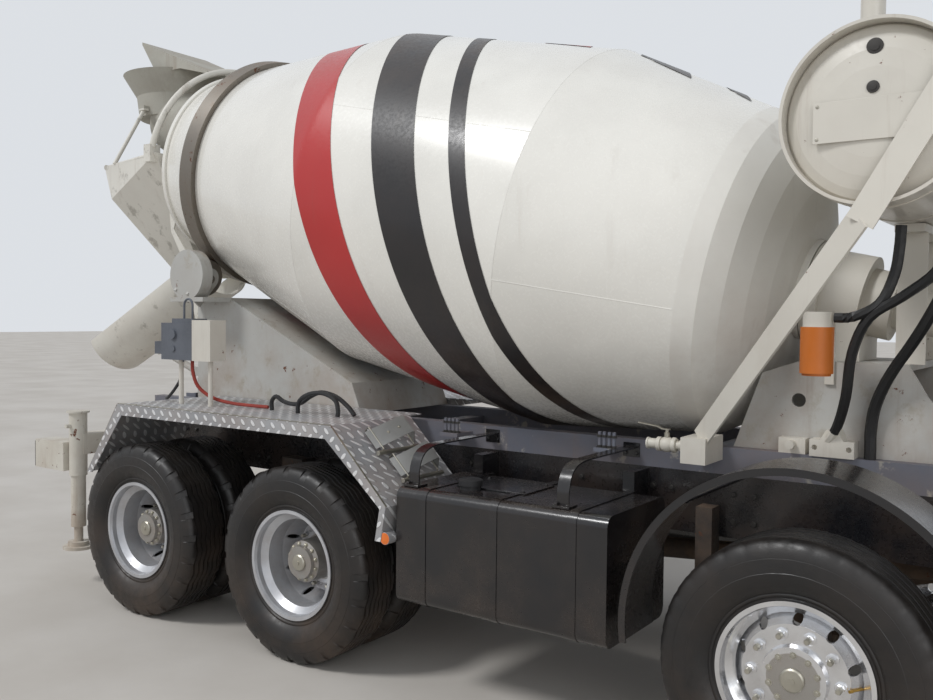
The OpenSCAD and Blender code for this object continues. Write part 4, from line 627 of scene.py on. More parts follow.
def paint_regions():
    """Second finishes on parts of a node: worn track ring, cement inside the drum, hoses and window panes."""
    def repaint(name, finish, test):
        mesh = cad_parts[name].data
        mesh.materials.append(FINISHES[finish])
        index = len(mesh.materials) - 1
        for polygon in mesh.polygons:
            if test(polygon.center, polygon.normal):
                polygon.material_index = index

    def from_axis(point):
        """How far along the drum's axis a point is, and the way out to it."""
        offset = Vector(point) - DRUM_POINT
        station = offset.dot(DRUM_AXIS)
        return station, offset - DRUM_AXIS * station

    def is_ring(point, normal):
        station, outward = from_axis(point)
        return -1.641 < station < -1.519 and outward.length > 0.77

    def is_inner(point, normal):
        outward = from_axis(point)[1]
        return outward.length > 0.02 and normal.dot(outward.normalized()) < -0.3

    def is_hose(point, normal):
        on_filter = math.hypot(point.x - 1.315, point.y + 0.60) < 0.072
        on_bracket = 1.294 < point.x < 1.336 and point.z > 1.59 and point.y > -0.54
        on_block = point.y > -0.475 and point.z < 1.405 and 1.10 < point.x < 1.455
        return not (on_filter or on_bracket or on_block)

    def off_post(point, x):
        """Whether a point lies outside a post of the control box."""
        return math.hypot(point.x + x, point.y + 0.99) > 0.02

    repaint("hydraulics", "stay_grey", lambda p, n: p.z > 1.859 or p.y > -0.5)
    repaint("hydraulics", "hose_rubber", is_hose)
    repaint("control_box", "box_grey", lambda p, n: p.x < -2.262 and p.z > 1.59)
    repaint("control_box", "hose_rubber",
            lambda p, n: p.z < 1.597 and off_post(p, 2.45) and off_post(p, 2.17))
    repaint("control_box", "hose_red",
            lambda p, n: p.z < 1.597 and -2.345 < p.x < -1.77 and off_post(p, 2.17))
    # The front head gets the darker paint: partly dust, partly painted shade under the water tank
    repaint("drum", "drum_head_dust_and_shade", lambda p, n: from_axis(p)[0] > 1.925)
    repaint("drum", "steel_worn", is_ring)
    repaint("drum", "cement_crust", is_inner)
    for name in ("door_left", "door_right"):
        repaint(name, "tinted_glass", lambda p, n: 1.93 < p.z < 2.61 and 1.170 < abs(p.y) < 1.182)


# Pieces


def tyre_profile(depth, driven):
    """Half of a tyre's section, as radius, distance outboard, zigzag share and lug share."""
    wall = ((0.2866, 0.080), (0.2866, 0.1125), (0.3000, 0.1145), (0.3100, 0.1165), (0.3160, 0.1225),
            (0.3220, 0.1235), (0.3270, 0.1215), (0.3400, 0.1335), (0.3620, 0.1455), (0.3900, 0.1540),
            (0.4080, 0.1558), (0.4100, 0.1545), (0.4380, 0.1540), (0.4620, 0.1515), (0.4640, 0.1495))
    shoulder = ((0.4820, 0.1470, 0.2), (0.5000, 0.1400, 0.7), (0.5150, 0.1330, 1), (0.5260, 0.1220, 1),
                (0.5335, 0.1080, 0.8))
    edges, half = ([0.086, 0.050, 0.016], 0.006) if driven else ([0.078, 0.028], 0.0055)
    section = [(r, y, 0, 0) for r, y in wall] + [(r, y, 0, lug) for r, y, lug in shoulder]
    section.append((TREAD_R - 0.0005, edges[0] + half + 0.008, 0, 0.2))
    for y in edges:
        section += [(TREAD_R, y + half, 1, 0), (TREAD_R - depth, y + half * 0.5, 1, 0),
                    (TREAD_R - depth, y - half * 0.5, 1, 0), (TREAD_R, y - half, 1, 0)]
    return section


def add_tyre(shape, centre, side, driven, sizes):
    """One treaded tyre: grooves around it, zigzag on driven axles, and cuts in its shoulders."""
    half = tyre_profile(sizes.tread_depth, driven)
    section = half + [(r, -y, zigzag, lug) for r, y, zigzag, lug in reversed(half)]
    shares = (0.0, 0.02, 0.28, 0.30, 0.53, 0.77) if driven else (0.0, 0.06, 0.30, 0.36)
    swing, bite = (0.0075, 0.010) if driven else (0.0015, 0.0025)
    period = len(shares)
    rings = []
    for r, y, zigzag, lug in section:
        ring = []
        for k in range(sizes.tread_steps):
            share = shares[k % period]
            angle = 2 * math.pi * (k // period + share) * period / sizes.tread_steps
            shift = zigzag * (abs(share * 2 - 1) * 2 - 1) * swing
            cut = lug * bite if k % period in (1, 2) else 0.0
            ring.append((centre[0] + (r - cut) * math.cos(angle), centre[1] + side * (y + shift),
                         centre[2] + (r - cut) * math.sin(angle)))
        rings.append(ring)
    rings.append(rings[0])
    shape.rings(rings, caps=False)


class TRUCK_OT_tyres(bpy.types.Operator):
    """Replaces the plain tyres with treaded ones"""

    bl_idname = "truck.tyres"
    bl_label = "Treaded Tyres"

    def execute(self, context):
        for axle, x in AXLE_X.items():
            driven = axle > 2
            kind = "tyres" if driven else "tyre"
            for name, side in SIDES:
                shape = Shape()
                for y in (TWIN_Y - TWIN_GAP / 2, TWIN_Y + TWIN_GAP / 2) if driven else (WHEEL_Y,):
                    add_tyre(shape, (x, side * y, AXLE_Z), side, driven, context.scene.truck_sizes)
                node = f"{kind}_{axle}_{name}"
                piece = shape.build(f"treaded_{node}", f"wheel_{axle}_{name}",
                                    ["tyre_rubber"], sharp=28)
                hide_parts(node)
        return {"FINISHED"}


class TRUCK_OT_wheel_fittings(bpy.types.Operator):
    """Adds stud ends, valve stems and hub cap bolts to the wheels"""

    bl_idname = "truck.wheel_fittings"
    bl_label = "Wheel Fittings"

    def execute(self, context):
        for axle in AXLE_X:
            for name, side in SIDES:
                self.fittings(axle, name, side)
        return {"FINISHED"}

    def fittings(self, axle, name, side):
        """Ten studs, the hub's ring of bolts, its cap and the valve stem of one wheel."""
        front = axle < 3
        middle = WHEEL_Y if front else TWIN_Y
        if front:
            stud_y, stud_length, cap_y, stem_y = 0.086, 0.030, 0.118, 0.045
            hub_bolts, hub_ring, hub_y = 10, 0.094, 0.1145
        else:
            stud_y, stud_length, cap_y, stem_y = 0.012, 0.036, 0.222, 0.10
            hub_bolts, hub_ring, hub_y = 12, 0.098, 0.1965
        out = Vector((0, side, 0))
        shape = Shape()

        def at(outboard, ring=0.0, angle=0.0):
            return Vector((AXLE_X[axle] + ring * math.cos(angle), side * (middle + outboard),
                           AXLE_Z + ring * math.sin(angle)))

        for angle in turns(10):
            foot = at(stud_y, STUD_RING, angle)
            shape.turned(foot, out, [(0.024, 0.0), (0.024, 0.005), (0.020, 0.007)], 20)
            shape.turned(foot + out * 0.015, out, [(0.0115, 0.0), (0.0115, stud_length),
                                                   (0.009, stud_length + 0.004)], 12, 1)
        for angle in turns(hub_bolts, 0.5):
            shape.hex_bolt(at(hub_y, hub_ring, angle), out, 0.009, 0.010, 1)
        shape.turned(at(cap_y), out, [(0.046, 0.0), (0.046, 0.008), (0.040, 0.013), (0.012, 0.015),
                                      (0.012, 0.019), (0.0, 0.019)], 28, 1)
        stem = [at(stem_y, 0.236), at(stem_y + 0.022, 0.222), at(stem_y + 0.048, 0.206)]
        shape.tube(smooth_path(stem), 0.0045, 8, 2)
        shape.turned(stem[-1], stem[-1] - stem[-2], [(0.0062, -0.004), (0.0062, 0.012)], 10, 2)
        shape.build(f"wheel_fittings_{axle}_{name}", f"wheel_{axle}_{name}",
                    ["rim_bright" if front else "rim_silver", "zinc", "brass"])


class TRUCK_OT_drum_stripes(bpy.types.Operator):
    """Adds the helical stripes, the weld beads, the inspection hatch and the flange bolts of the drum"""

    bl_idname = "truck.drum_stripes"
    bl_label = "Drum Stripes and Seams"

    def execute(self, context):
        sizes = context.scene.truck_sizes
        for copy in range(2):
            turn = math.pi * copy + math.radians(-12)
            for name, finish, ahead, width in (
                ("red_stripe", "stripe_red", 0.0, sizes.stripe_width),
                ("dark_stripe_broad", "stripe_dark", 0.60, sizes.stripe_width * 0.95),
                ("dark_stripe_slim", "stripe_dark", 1.02, sizes.stripe_width * 0.42),
            ):
                self.stripe(f"{name}_{copy + 1}", finish, turn, -1.02 + ahead, sizes.stripe_turn, width)
        self.seams()
        self.hatch()
        bolts = Shape()
        for angle in turns(24):
            around = DRUM_UP * math.cos(angle) + Vector((0, 1, 0)) * math.sin(angle)
            bolts.hex_bolt(DRUM_POINT + DRUM_AXIS * 2.303 + around * 0.215, DRUM_AXIS, 0.013, 0.014)
        bolts.build("drum_flange_bolts", "drum", ["zinc"])
        return {"FINISHED"}

    def stripe(self, name, finish, turn, start, sweep, width):
        """A film of paint that follows the shell, with slanted ends."""
        shape = Shape()
        steps, lanes, run, slant, lift = 110, 24, 1.78, 0.10, 0.0030
        offsets = [lane / lanes - 0.5 for lane in range(lanes + 1)]
        rings = []
        for k in range(steps + 1):
            share = k / steps
            rings.append([on_shell(start + run * share + width * offset,
                                   turn + sweep * share + slant * offset, lift) for offset in offsets])
        shape.rings(rings, closed=False, caps=False)
        shape.build(name, "drum", [finish], sharp=60)

    def seams(self):
        """Weld beads around the shell and along it, half sunk."""
        seams = Shape()
        for station in (BELLY_BACK, BELLY_FRONT):
            seams.tube([on_shell(station, angle, -0.0030) for angle in turns(96)], 0.0045, 6, closed=True)
        for start, stop, angles in ((-1.50, BELLY_BACK, (0.4, 2.5, 4.6)),
                                    (BELLY_BACK, BELLY_FRONT, (1.1, 4.2)),
                                    (BELLY_FRONT, 1.93, (0.2, 1.8, 3.4, 5.0))):
            for angle in angles:
                line = [on_shell(start + (stop - start) * k / 10, angle, -0.0022) for k in range(11)]
                seams.tube(line, 0.0035, 6)
        seams.build("drum_weld_beads", "drum", ["drum_white"], sharp=60)

    def hatch(self):
        """A bolted cover that follows the belly's curve."""
        hatch = Shape()
        place = (0.45, math.radians(245))
        middle, facing = on_shell(*place), shell_normal(*place)
        across = facing.cross(DRUM_AXIS).normalized()

        def rounded(angle, long_half, short_half):
            """A point on a rounded rectangle."""
            parts = (math.cos(angle), math.sin(angle))
            u, v = (math.copysign(abs(part) ** 0.6, part) for part in parts)
            return long_half * u, short_half * v

        def on_cover(u, v, lift):
            drop = BELLY_R - math.sqrt(BELLY_R ** 2 - v ** 2)
            return middle + DRUM_AXIS * u + across * v + facing * (lift - drop)

        outline = [rounded(angle, 0.24, 0.17) for angle in turns(40)]
        hatch.rings([[on_cover(u * grow, v * grow, lift) for u, v in outline] for grow, lift in
                     ((1.08, -0.02), (1.08, 0.012), (1.0, 0.016), (0.97, 0.028), (0.1, 0.030))])
        for angle in turns(10):
            hatch.hex_bolt(on_cover(*rounded(angle, 0.225, 0.155), 0.026), facing, 0.011, 0.012, 1)
        hatch.build("drum_hatch", "drum", ["drum_white", "zinc"])


class TRUCK_OT_chassis_bolts(bpy.types.Operator):
    """Adds the rows of bolts along the chassis and the subframe"""

    bl_idname = "truck.chassis_bolts"
    bl_label = "Chassis Bolts"

    def execute(self, context):
        radius = context.scene.truck_sizes.bolt_radius
        shape = Shape()
        for x in (-3.35, -3.05, -2.3, -1.95, -1.55, -0.95, -0.55, 0.05, 0.55, 0.96, 1.83, 2.35, 2.75, 3.55,
                  4.05):
            for side in (1, -1):
                for dx, z in ((-0.05, 0.93), (0.05, 0.93), (-0.05, 1.06), (0.05, 1.06)):
                    shape.hex_bolt((x + dx, side * RAIL_Y, z), (0, side, 0), radius, radius * 1.1)
        for x in (-0.66, 0.30):
            for side in (1, -1):
                for dx in (-0.04, -0.014, 0.014, 0.04):
                    shape.hex_bolt((x + dx, side * SUB_BOLT_Y, SUB_TOP - 0.040), UP, 0.013, 0.012)
                    shape.turned((x + dx, side * SUB_BOLT_Y, SUB_TOP + 0.012), UP,
                                 [(0.014, 0), (0.014, 0.012)], 6)
        shape.build("frame_bolts", "chassis", ["dark_steel"])
        return {"FINISHED"}


class TRUCK_OT_lamps(bpy.types.Operator):
    """Adds the head lamps, the tail lamps and the side markers"""

    bl_idname = "truck.lamps"
    bl_label = "Lamps"

    def execute(self, context):
        shape = Shape()
        for side in (1, -1):
            for y, slot in ((0.928, 2), (0.978, 1), (1.028, 0)):
                shape.block((TAIL_LAMP_X - 0.012, side * y, 0.80),
                            (TAIL_LAMP_X, side * (y + 0.044), 0.95), slot)
            shape.block((-3.978, side * 1.0 - 0.08, 0.785), (-3.969, side * 1.0 + 0.08, 0.965), 3)
            for y in (0.80, 0.93):
                shape.turned((HEAD_LAMP_X, side * y, 0.63), (1, 0, 0),
                             [(0.058, 0.0), (0.058, 0.003), (0.050, 0.005), (0.0, 0.006)], 32)
            shape.turned((-0.555, side * 1.2491, 0.790), (0, side, 0),
                         [(0.030, -0.004), (0.030, 0.0), (0.026, 0.0006), (0.0, 0.0008)], 28, 2)
        shape.build("lamps", "chassis",
                    ["lens_clear", "lens_red", "lens_orange", "black_plastic"], bevel=0.002)
        return {"FINISHED"}


def on_windscreen(y, z, off):
    """A point in front of the cab's face, which leans back above the sill and below it."""
    x = 4.438 - (z - 1.82) * 0.1253 if z > 1.82 else 4.438 + (1.82 - z) * 0.1615
    return Vector((x + off, y, z))


class TRUCK_OT_cab_fittings(bpy.types.Operator):
    """Adds the cab's wipers and mirror faces"""

    bl_idname = "truck.cab_fittings"
    bl_label = "Cab Fittings"

    def execute(self, context):
        shape = Shape()
        bow = Vector((0.010, 0, 0))
        for hub_y, tip_y in ((0.75, 0.30), (-0.05, -0.50)):
            foot, tip = on_windscreen(hub_y, 1.80, 0.004), on_windscreen(tip_y, 2.06, 0.016)
            shape.turned(foot, (1, 0, 0.2), [(0.016, -0.006), (0.016, 0.010), (0.008, 0.016)], 14)
            shape.tube([foot + bow, (foot + tip) / 2 + bow, tip], 0.006, 8, 0)
            blade = [on_windscreen(tip_y - 0.30, 1.94, 0.012), on_windscreen(tip_y + 0.28, 2.20, 0.012)]
            shape.strip(blade, [(1, 0, 0.12)] * 2, 0.014, 0.008)
        for side in (1, -1):
            shape.block((4.257, side * 1.27, 1.78), (4.270, side * 1.445, 2.33), 1)
        shape.build("wipers_and_mirrors", "cab", ["black_plastic", "mirror_glass"],
                    bevel=0.001)
        return {"FINISHED"}


class TRUCK_OT_cab_seats(bpy.types.Operator):
    """Replaces the plain cab interior with cushioned seats, a dashboard and a steering wheel"""

    bl_idname = "truck.cab_seats"
    bl_label = "Cab Seats and Dashboard"

    def execute(self, context):
        for name, side in SIDES:
            self.cushion(f"seat_cushion_{name}", (3.16, side * SEAT_Y, 1.535), (0.47, 0.48, 0.15), 0.0)
            self.cushion(f"seat_back_{name}", (2.905, side * SEAT_Y, 1.99), (0.13, 0.46, 0.78),
                         math.radians(-6))
        shape = Shape()
        for side in (1, -1):
            shape.block((2.92, side * SEAT_Y - 0.20, 1.3256), (3.36, side * SEAT_Y + 0.20, 1.45))
        dashboard = [(4.06, 1.56), (4.12, 1.83), (4.17, 1.87), (4.37, 1.888), (4.41, 1.80), (4.42, 1.56)]
        shape.rings([[(x, y, z) for x, z in dashboard] for y in (-1.095, -0.4, 0.4, 1.095)])
        hub = Vector((3.92, 0.62, 2.01))
        tilt = Matrix.Rotation(math.radians(-35), 3, "Y")
        column = tilt @ Vector(UP)

        def on_rim(radius, angle):
            return hub + tilt @ Vector((radius * math.cos(angle), radius * math.sin(angle), 0))

        shape.tube([on_rim(0.215, angle) for angle in turns(48)], 0.014, 10, 1, closed=True)
        for degrees in (90, 210, 330):
            shape.strip([hub, on_rim(0.21, math.radians(degrees))], [column] * 2, 0.03, 0.01, 1)
        shape.turned(hub - column * 0.02, column, [(0.05, 0), (0.05, 0.03), (0.03, 0.04), (0, 0.04)], 24, 1)
        shape.rod(hub, (4.10, 0.62, 1.76), 0.028, 14)
        piece = shape.build("dashboard_and_wheel", "cab", ["black_plastic", "dark_steel"],
                            bevel=0.004)
        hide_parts("cab_interior")
        return {"FINISHED"}

    def cushion(self, name, centre, size, lean):
        """A crowned cushion with sewn channels, made by subdividing a block."""
        mesh = bpy.data.meshes.new(name)
        work = bmesh.new()
        bmesh.ops.create_cube(work, size=1.0)
        bmesh.ops.subdivide_edges(work, edges=work.edges[:], cuts=11, use_grid_fill=True)
        turn = Matrix.Rotation(lean, 3, "Y")
        thin = min(range(3), key=lambda i: size[i])
        for vert in work.verts:
            p = vert.co * 2
            squeeze = [1 - 0.07 * (p[(i + 1) % 3] ** 2 + p[(i + 2) % 3] ** 2) for i in range(3)]
            local = Vector((p[i] / 2 * size[i] * squeeze[i] for i in range(3)))
            if abs(p[thin]) > 0.8:
                channel = math.exp(-(((abs(p.y) - 0.45) / 0.05) ** 2)) * 0.010
                local[thin] -= math.copysign(channel, p[thin])
            vert.co = turn @ local + Vector(centre)
        work.to_mesh(mesh)
        work.free()
        mesh.materials.append(FINISHES["seat_cloth"])
        mesh.shade_smooth()
        piece = bpy.data.objects.new(name, mesh)
        bpy.context.scene.collection.objects.link(piece)
        rounding = piece.modifiers.new("Soft Edges", "SUBSURF")
        rounding.levels = rounding.render_levels = 1
        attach(piece, "cab")


# The fender's slope: its top corner and its direction
SLOPE_X, SLOPE_Z = -0.925, 1.320
SLOPE_RUN, SLOPE_FALL = 0.7099, 0.7043


def on_slope(down, y, off):
    """A point so far down the fender's slope and so far off its face."""
    return (SLOPE_X + SLOPE_RUN * down + SLOPE_FALL * off, y, SLOPE_Z - SLOPE_FALL * down + SLOPE_RUN * off)


class TRUCK_OT_deck_fittings(bpy.types.Operator):
    """Adds the wheel chocks, the fender's edge trims, the tank's arched brackets and the water valve"""

    bl_idname = "truck.deck_fittings"
    bl_label = "Deck Fittings"

    def execute(self, context):
        for word, side in reversed(SIDES):
            self.chocks(side, word)
            self.trim(side, word)
        self.arches(context.scene.truck_sizes.bolt_radius)
        self.valve()
        return {"FINISHED"}

    def trim(self, side, word):
        """A thin edge along the fender's outline, and a row of rivets on its top."""
        trim = Shape()
        top = SLOPE_Z + 0.0005
        line = [(-3.064, 0.866), (-2.742, top), (-0.926, top), (-0.550, 0.947), (-0.580, 0.775)]
        points = [(x, side * 1.2440, z) for x, z in smooth_corners(line)]
        normals = outward_normals(points)
        raised = [(x + n[0] * 0.001, y, z + n[2] * 0.001) for (x, y, z), n in zip(points, normals)]
        trim.strip(raised, normals, 0.012, 0.0022)
        for k in range(8):
            trim.turned((-2.60 + 0.21 * k, side * 1.215, top), UP,
                        [(0.008, 0.0), (0.007, 0.003), (0.0, 0.0045)], 12)
        trim.build(f"fender_trim_{word}", "chassis", ["zinc"], sharp=40)

    def chocks(self, side, word):
        """Folded chocks across the fender's slope, each on a wire cradle."""
        shape = Shape()
        lift = Vector((SLOPE_FALL, 0, SLOPE_RUN))
        for down, outer in ((0.14, 1.06), (0.33, 1.02)):
            def at(across, off, further=0.0):
                return on_slope(down + further, side * (outer - across), off)

            points = [at(*spot) for spot in ((0.0, 0.016), (0.20, 0.125), (0.222, 0.125), (0.315, 0.016))]
            normals = [lift + Vector((0, side * 0.5, 0)), lift, lift, lift - Vector((0, side * 1.2, 0))]
            shape.strip(points, normals, 0.115, 0.004)
            for across in (0.03, 0.285):
                wire = [at(across, 0.004, -0.075), at(across, 0.035, -0.075), at(across, 0.035, 0.075),
                        at(across, 0.004, 0.075)]
                shape.tube(wire, 0.005, 8, 1)
            for across in (0.10, 0.16, 0.25):
                height = 0.016 + 0.109 * min(across / 0.20, (0.315 - across) / 0.093)
                shape.hex_bolt(at(across, height), lift, 0.007, 0.008, 1)
            shape.rod(at(-0.01, 0.018, 0.085), at(0.33, 0.018, 0.085), 0.012, 14, 1)
            for across in (0.0, 0.32):
                shape.rod(at(across, 0.0, 0.085), at(across, 0.018, 0.085), 0.006, 10, 1)
        shape.build(f"wheel_chocks_{word}", "chassis", ["dull_alloy", "zinc"], bevel=0.0008)

    def arches(self, radius):
        """Flat brackets that rise from the fuel tank and bend over to the subframe."""
        shape = Shape()
        for x in (-0.46, 0.38):
            line = smooth_path([(x, y, z) for y, z in ((-1.13, 1.047), (-1.128, 1.13), (-1.09, 1.20),
                                                       (-1.00, 1.232), (-0.80, 1.236), (-0.434, 1.236))], 5)
            shape.strip(line, outward_normals(line), 0.060, 0.008)
            shape.block((x - 0.045, -1.165, 1.0462), (x + 0.045, -1.085, 1.0562))
            shape.block((x - 0.045, -0.4345, 1.19), (x + 0.045, -0.4265, 1.262))
            for dx in (-0.030, 0.030):
                shape.hex_bolt((x + dx, -1.15, 1.056), UP, radius * 0.8, 0.010)
                shape.hex_bolt((x + dx, -0.4345, 1.21), (0, -1, 0), radius * 0.8, 0.010)
        shape.block((-0.30, -1.00, 1.046), (0.10, -0.72, 1.052))
        for x, y in ((-0.27, -0.97), (0.07, -0.97), (-0.27, -0.75), (0.07, -0.75)):
            shape.hex_bolt((x, y, 1.052), UP, radius * 0.7, 0.008)
        shape.build("tank_brackets", "chassis", ["tank_black"], bevel=0.001)

    def valve(self):
        """Lever valve with its hose end behind the foot of the right tank stay."""
        shape = Shape()
        y = -0.615
        for x, sides, profile in (
            (0.731, 24, ((0.026, 0.0), (0.026, 0.020), (0.020, 0.022), (0.020, 0.040))),
            (0.693, 8, ((0.034, 0.0), (0.036, 0.003), (0.036, 0.018), (0.034, 0.021))),
            (0.673, 24, ((0.026, 0.0), (0.034, 0.012), (0.037, 0.028), (0.034, 0.044), (0.026, 0.056))),
            (0.618, 24, ((0.034, 0.0), (0.034, 0.018), (0.024, 0.020), (0.024, 0.060), (0.028, 0.062),
                         (0.028, 0.070))),
        ):
            shape.turned((x, y, 1.295), (-1, 0, 0), profile, sides)
        shape.turned((0.645, y, 1.330), UP, [(0.014, 0.0), (0.014, 0.020), (0.009, 0.022), (0.009, 0.036)],
                     16, 1)
        lever = [(x, y, z) for x, z in ((0.660, 1.364), (0.620, 1.366), (0.600, 1.376), (0.500, 1.388))]
        shape.strip(lever, [UP] * 4, 0.024, 0.004, 1)
        shape.build("water_valve", "chassis", ["worn_white", "zinc"], sharp=40)


def smooth_corners(line):
    """The same corners, each cut by a short chamfer."""
    result = [line[0]]
    for before, here, after in zip(line, line[1:], line[2:]):
        for other in (before, after):
            far = math.dist(other, here)
            result.append(tuple(h + (o - h) * 0.004 / far for h, o in zip(here, other)))
    return result + [line[-1]]


def outward_normals(points):
    """Normals to the left of a line's run in the plane across the truck's side or front."""
    result = []
    last = len(points) - 1
    for i in range(len(points)):
        along = Vector(points[min(i + 1, last)]) - Vector(points[max(i - 1, 0)])
        sideways = abs(along.x) + 1e-9 > abs(along.y)
        result.append((-along.z, 0, along.x) if sideways else (0, -along.z, along.y))
    return result


def tank_end(reach):
    """How far out the water tank's domed end lies, at a distance from its axis."""
    return 1.160 - 0.060 * (1 - math.sqrt(max(0.0, 1 - (reach / 0.323) ** 2)))


class TRUCK_OT_tank_fittings(bpy.types.Operator):
    """Adds the fuel tank's straps and cap, and the water tank's seams, plugs and blank plates"""

    bl_idname = "truck.tank_fittings"
    bl_label = "Tank Fittings"

    def execute(self, context):
        self.fuel_tank()
        self.water_tank()
        self.plates()
        return {"FINISHED"}

    def fuel_tank(self):
        """Straps around the outside of the fuel tank, and its cap."""
        straps = Shape()
        low, inner, outer, round_r = 0.4695, 0.5895, 1.2005, 0.052
        for x in (-0.36, 0.05, 0.46):
            line, normals = [(x, -inner, low)], [(0, 0, -1)]
            for cz, first in ((low + round_r, -90), (FUEL_TOP - round_r, 0)):
                for k in range(7):
                    a = math.radians(first + 15 * k)
                    line.append((x, -(outer - round_r + round_r * math.cos(a)), cz + round_r * math.sin(a)))
                    normals.append((0, -math.cos(a), math.sin(a)))
            straps.strip(line + [(x, -inner, FUEL_TOP)], normals + [UP], 0.045, 0.003)
        cap = [(0.052, 0), (0.052, 0.018), (0.060, 0.020), (0.060, 0.046), (0.048, 0.052), (0, 0.052)]
        straps.turned((-0.20, -1.02, 1.045), UP, cap, 32, 1)
        straps.build("fuel_tank_straps", "chassis", ["tank_black", "black_plastic"])

    def water_tank(self):
        """Seams around the water tank, and two plugs in each end."""
        tank = Shape()
        reach = TANK_R + 0.0008
        for y in (-1.05, -0.52, 0.52, 1.05):
            tank.tube([(TANK_X + reach * math.cos(a), y, TANK_Z + reach * math.sin(a)) for a in turns(72)],
                      0.0035, 6, closed=True)
        for z, radius in ((TANK_Z + 0.235, 0.017), (TANK_Z + 0.087, 0.013)):
            rim = radius * 1.7
            plug = [(rim, 0.0), (rim, 0.008), (radius, 0.009), (radius, 0.012), (0.0, 0.013)]
            for side in (1, -1):
                tank.turned((TANK_X - 0.005, side * (tank_end(z - TANK_Z) - 0.003), z), (0, side, 0), plug,
                            20, 1)
        tank.build("tank_seams_and_plugs", "chassis", ["tank_white", "dark_steel"], sharp=50)

    def plates(self):
        """A blank plate on posts in front of each end of the water tank."""
        plate = Shape()
        back, front = 1.1605, 1.1645
        for side in (-1, 1):
            plate.block((TANK_X - 0.21, side * back, 2.540), (TANK_X + 0.21, side * front, 2.690))
            for dx in (-0.195, 0.195):
                for z in (2.555, 2.675):
                    x = TANK_X + dx
                    plate.rod((x, side * 1.135, z), (x, side * 1.162, z), 0.006, 12, 1)
                    plate.turned((x, side * front, z), (0, side, 0),
                                 [(0.007, 0), (0.006, 0.002), (0, 0.003)], 12, 1)
        plate.build("blank_plates", "chassis", ["tank_white", "zinc"], bevel=0.001)


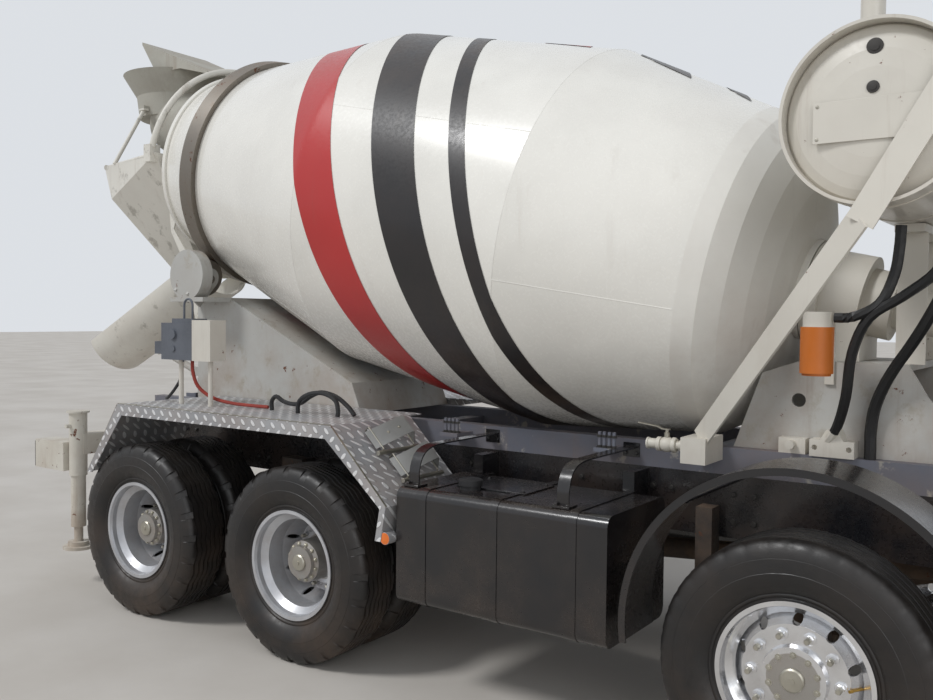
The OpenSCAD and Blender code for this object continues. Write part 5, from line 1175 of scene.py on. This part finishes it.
class TRUCK_OT_stage(bpy.types.Operator):
    """Lays the pale floor, lights the truck and sets up the camera"""

    bl_idname = "truck.stage"
    bl_label = "Floor, Lights and Camera"

    def execute(self, context):
        scene = context.scene
        scene.view_settings.view_transform = "Standard"
        self.floor(scene)
        self.sky(scene)
        for name, kind, energy, place, aim, size in (
            ("key_light", "SUN", 1.45, (-5, -8, 12), (0, 0, 1.5), math.radians(14)),
            ("fill_light", "AREA", 260, (9, -9, 5), (1, 0, 1.6), 7.0),
        ):
            lamp = bpy.data.lights.new(name, kind)
            lamp.energy = energy
            if kind == "SUN":
                lamp.angle = size
            else:
                lamp.size = size
            holder = bpy.data.objects.new(name, lamp)
            holder.location = place
            holder.rotation_euler = (Vector(aim) - Vector(place)).to_track_quat("-Z", "Y").to_euler()
            scene.collection.objects.link(holder)
        self.camera(scene, scene.truck_view)
        return {"FINISHED"}

    def floor(self, scene):
        mesh = bpy.data.meshes.new("floor")
        mesh.from_pydata([(-80, -80, 0), (80, -80, 0), (80, 80, 0), (-80, 80, 0)], [], [(0, 1, 2, 3)])
        f = Finish("floor_pale")
        base = f.mottled(0.8, 6.0, srgb(196, 190, 182), srgb(208, 203, 196))
        mesh.materials.append(f.surface(base, 0.9, 0.0, f.bump(f.noise(30.0, 4.0), 0.1, 0.004)))
        floor = bpy.data.objects.new("floor", mesh)
        scene.collection.objects.link(floor)

    def sky(self, scene):
        """An even sky, a little brighter where the camera sees it or glass and gloss show it."""
        world = bpy.data.worlds.new("studio")
        scene.world = world
        world.use_nodes = True
        nodes, links = world.node_tree.nodes, world.node_tree.links
        light, seen = nodes["Background"], nodes.new("ShaderNodeBackground")
        for node, colour, strength in ((light, (0.86, 0.90, 0.96, 1.0), 0.50),
                                       (seen, (0.80, 0.83, 0.87, 1.0), 0.90)):
            node.inputs["Color"].default_value = colour
            node.inputs["Strength"].default_value = strength
        path = nodes.new("ShaderNodeLightPath")
        rays = path.outputs["Is Camera Ray"]
        for kind in ("Is Glossy Ray", "Is Transmission Ray"):
            either = nodes.new("ShaderNodeMath")
            either.operation = "MAXIMUM"
            links.new(rays, either.inputs[0])
            links.new(path.outputs[kind], either.inputs[1])
            rays = either.outputs[0]
        mix = nodes.new("ShaderNodeMixShader")
        for index, output in enumerate((rays, light.outputs[0], seen.outputs[0])):
            links.new(output, mix.inputs[index])
        links.new(mix.outputs[0], nodes["World Output"].inputs["Surface"])

    def camera(self, scene, view):
        data = bpy.data.cameras.new("camera")
        data.sensor_width = 36.0
        data.lens = view.lens
        data.clip_end = 300.0
        level = math.cos(view.pitch)
        forward = Vector((-math.sin(view.heading) * level, math.cos(view.heading) * level,
                          math.sin(view.pitch)))
        right = forward.cross(Vector(UP)).normalized()
        up = right.cross(forward)
        turned_right = right * math.cos(view.roll) + up * math.sin(view.roll)
        turned_up = up * math.cos(view.roll) - right * math.sin(view.roll)
        aim = Matrix((turned_right, turned_up, -forward)).transposed().to_4x4()
        camera = bpy.data.objects.new("camera", data)
        camera.matrix_world = Matrix.Translation(view.place) @ aim
        scene.collection.objects.link(camera)
        scene.camera = camera


# Order in which the truck is dressed

OPERATORS = (
    TRUCK_OT_stage,
    TRUCK_OT_finishes,
    TRUCK_OT_tyres,
    TRUCK_OT_wheel_fittings,
    TRUCK_OT_drum_stripes,
    TRUCK_OT_chassis_bolts,
    TRUCK_OT_lamps,
    TRUCK_OT_cab_fittings,
    TRUCK_OT_cab_seats,
    TRUCK_OT_tank_fittings,
    TRUCK_OT_deck_fittings,
)


class TRUCK_PT_panel(bpy.types.Panel):
    """Lists the steps of dressing the truck"""

    bl_idname = "TRUCK_PT_panel"
    bl_label = "Mixer Truck"
    bl_space_type = "VIEW_3D"
    bl_region_type = "UI"
    bl_category = "Mixer Truck"

    def draw(self, context):
        layout = self.layout
        for group in (context.scene.truck_colours, context.scene.truck_sizes, context.scene.truck_view):
            column = layout.column()
            for key in group.bl_rna.properties.keys():
                if key not in ("rna_type", "name"):
                    column.prop(group, key)
        for operator in OPERATORS:
            layout.operator(operator.bl_idname)


CLASSES = (TruckColours, TruckSizes, TruckView, *OPERATORS, TRUCK_PT_panel)


def register():
    for cls in CLASSES:
        bpy.utils.register_class(cls)
    bpy.types.Scene.truck_colours = PointerProperty(type=TruckColours)
    bpy.types.Scene.truck_sizes = PointerProperty(type=TruckSizes)
    bpy.types.Scene.truck_view = PointerProperty(type=TruckView)


def unregister():
    del bpy.types.Scene.truck_view
    del bpy.types.Scene.truck_sizes
    del bpy.types.Scene.truck_colours
    for cls in reversed(CLASSES):
        bpy.utils.unregister_class(cls)


def main():
    register()
    for operator in OPERATORS:
        group, name = operator.bl_idname.split(".")
        getattr(getattr(bpy.ops, group), name)()


if __name__ == "__main__":
    main()
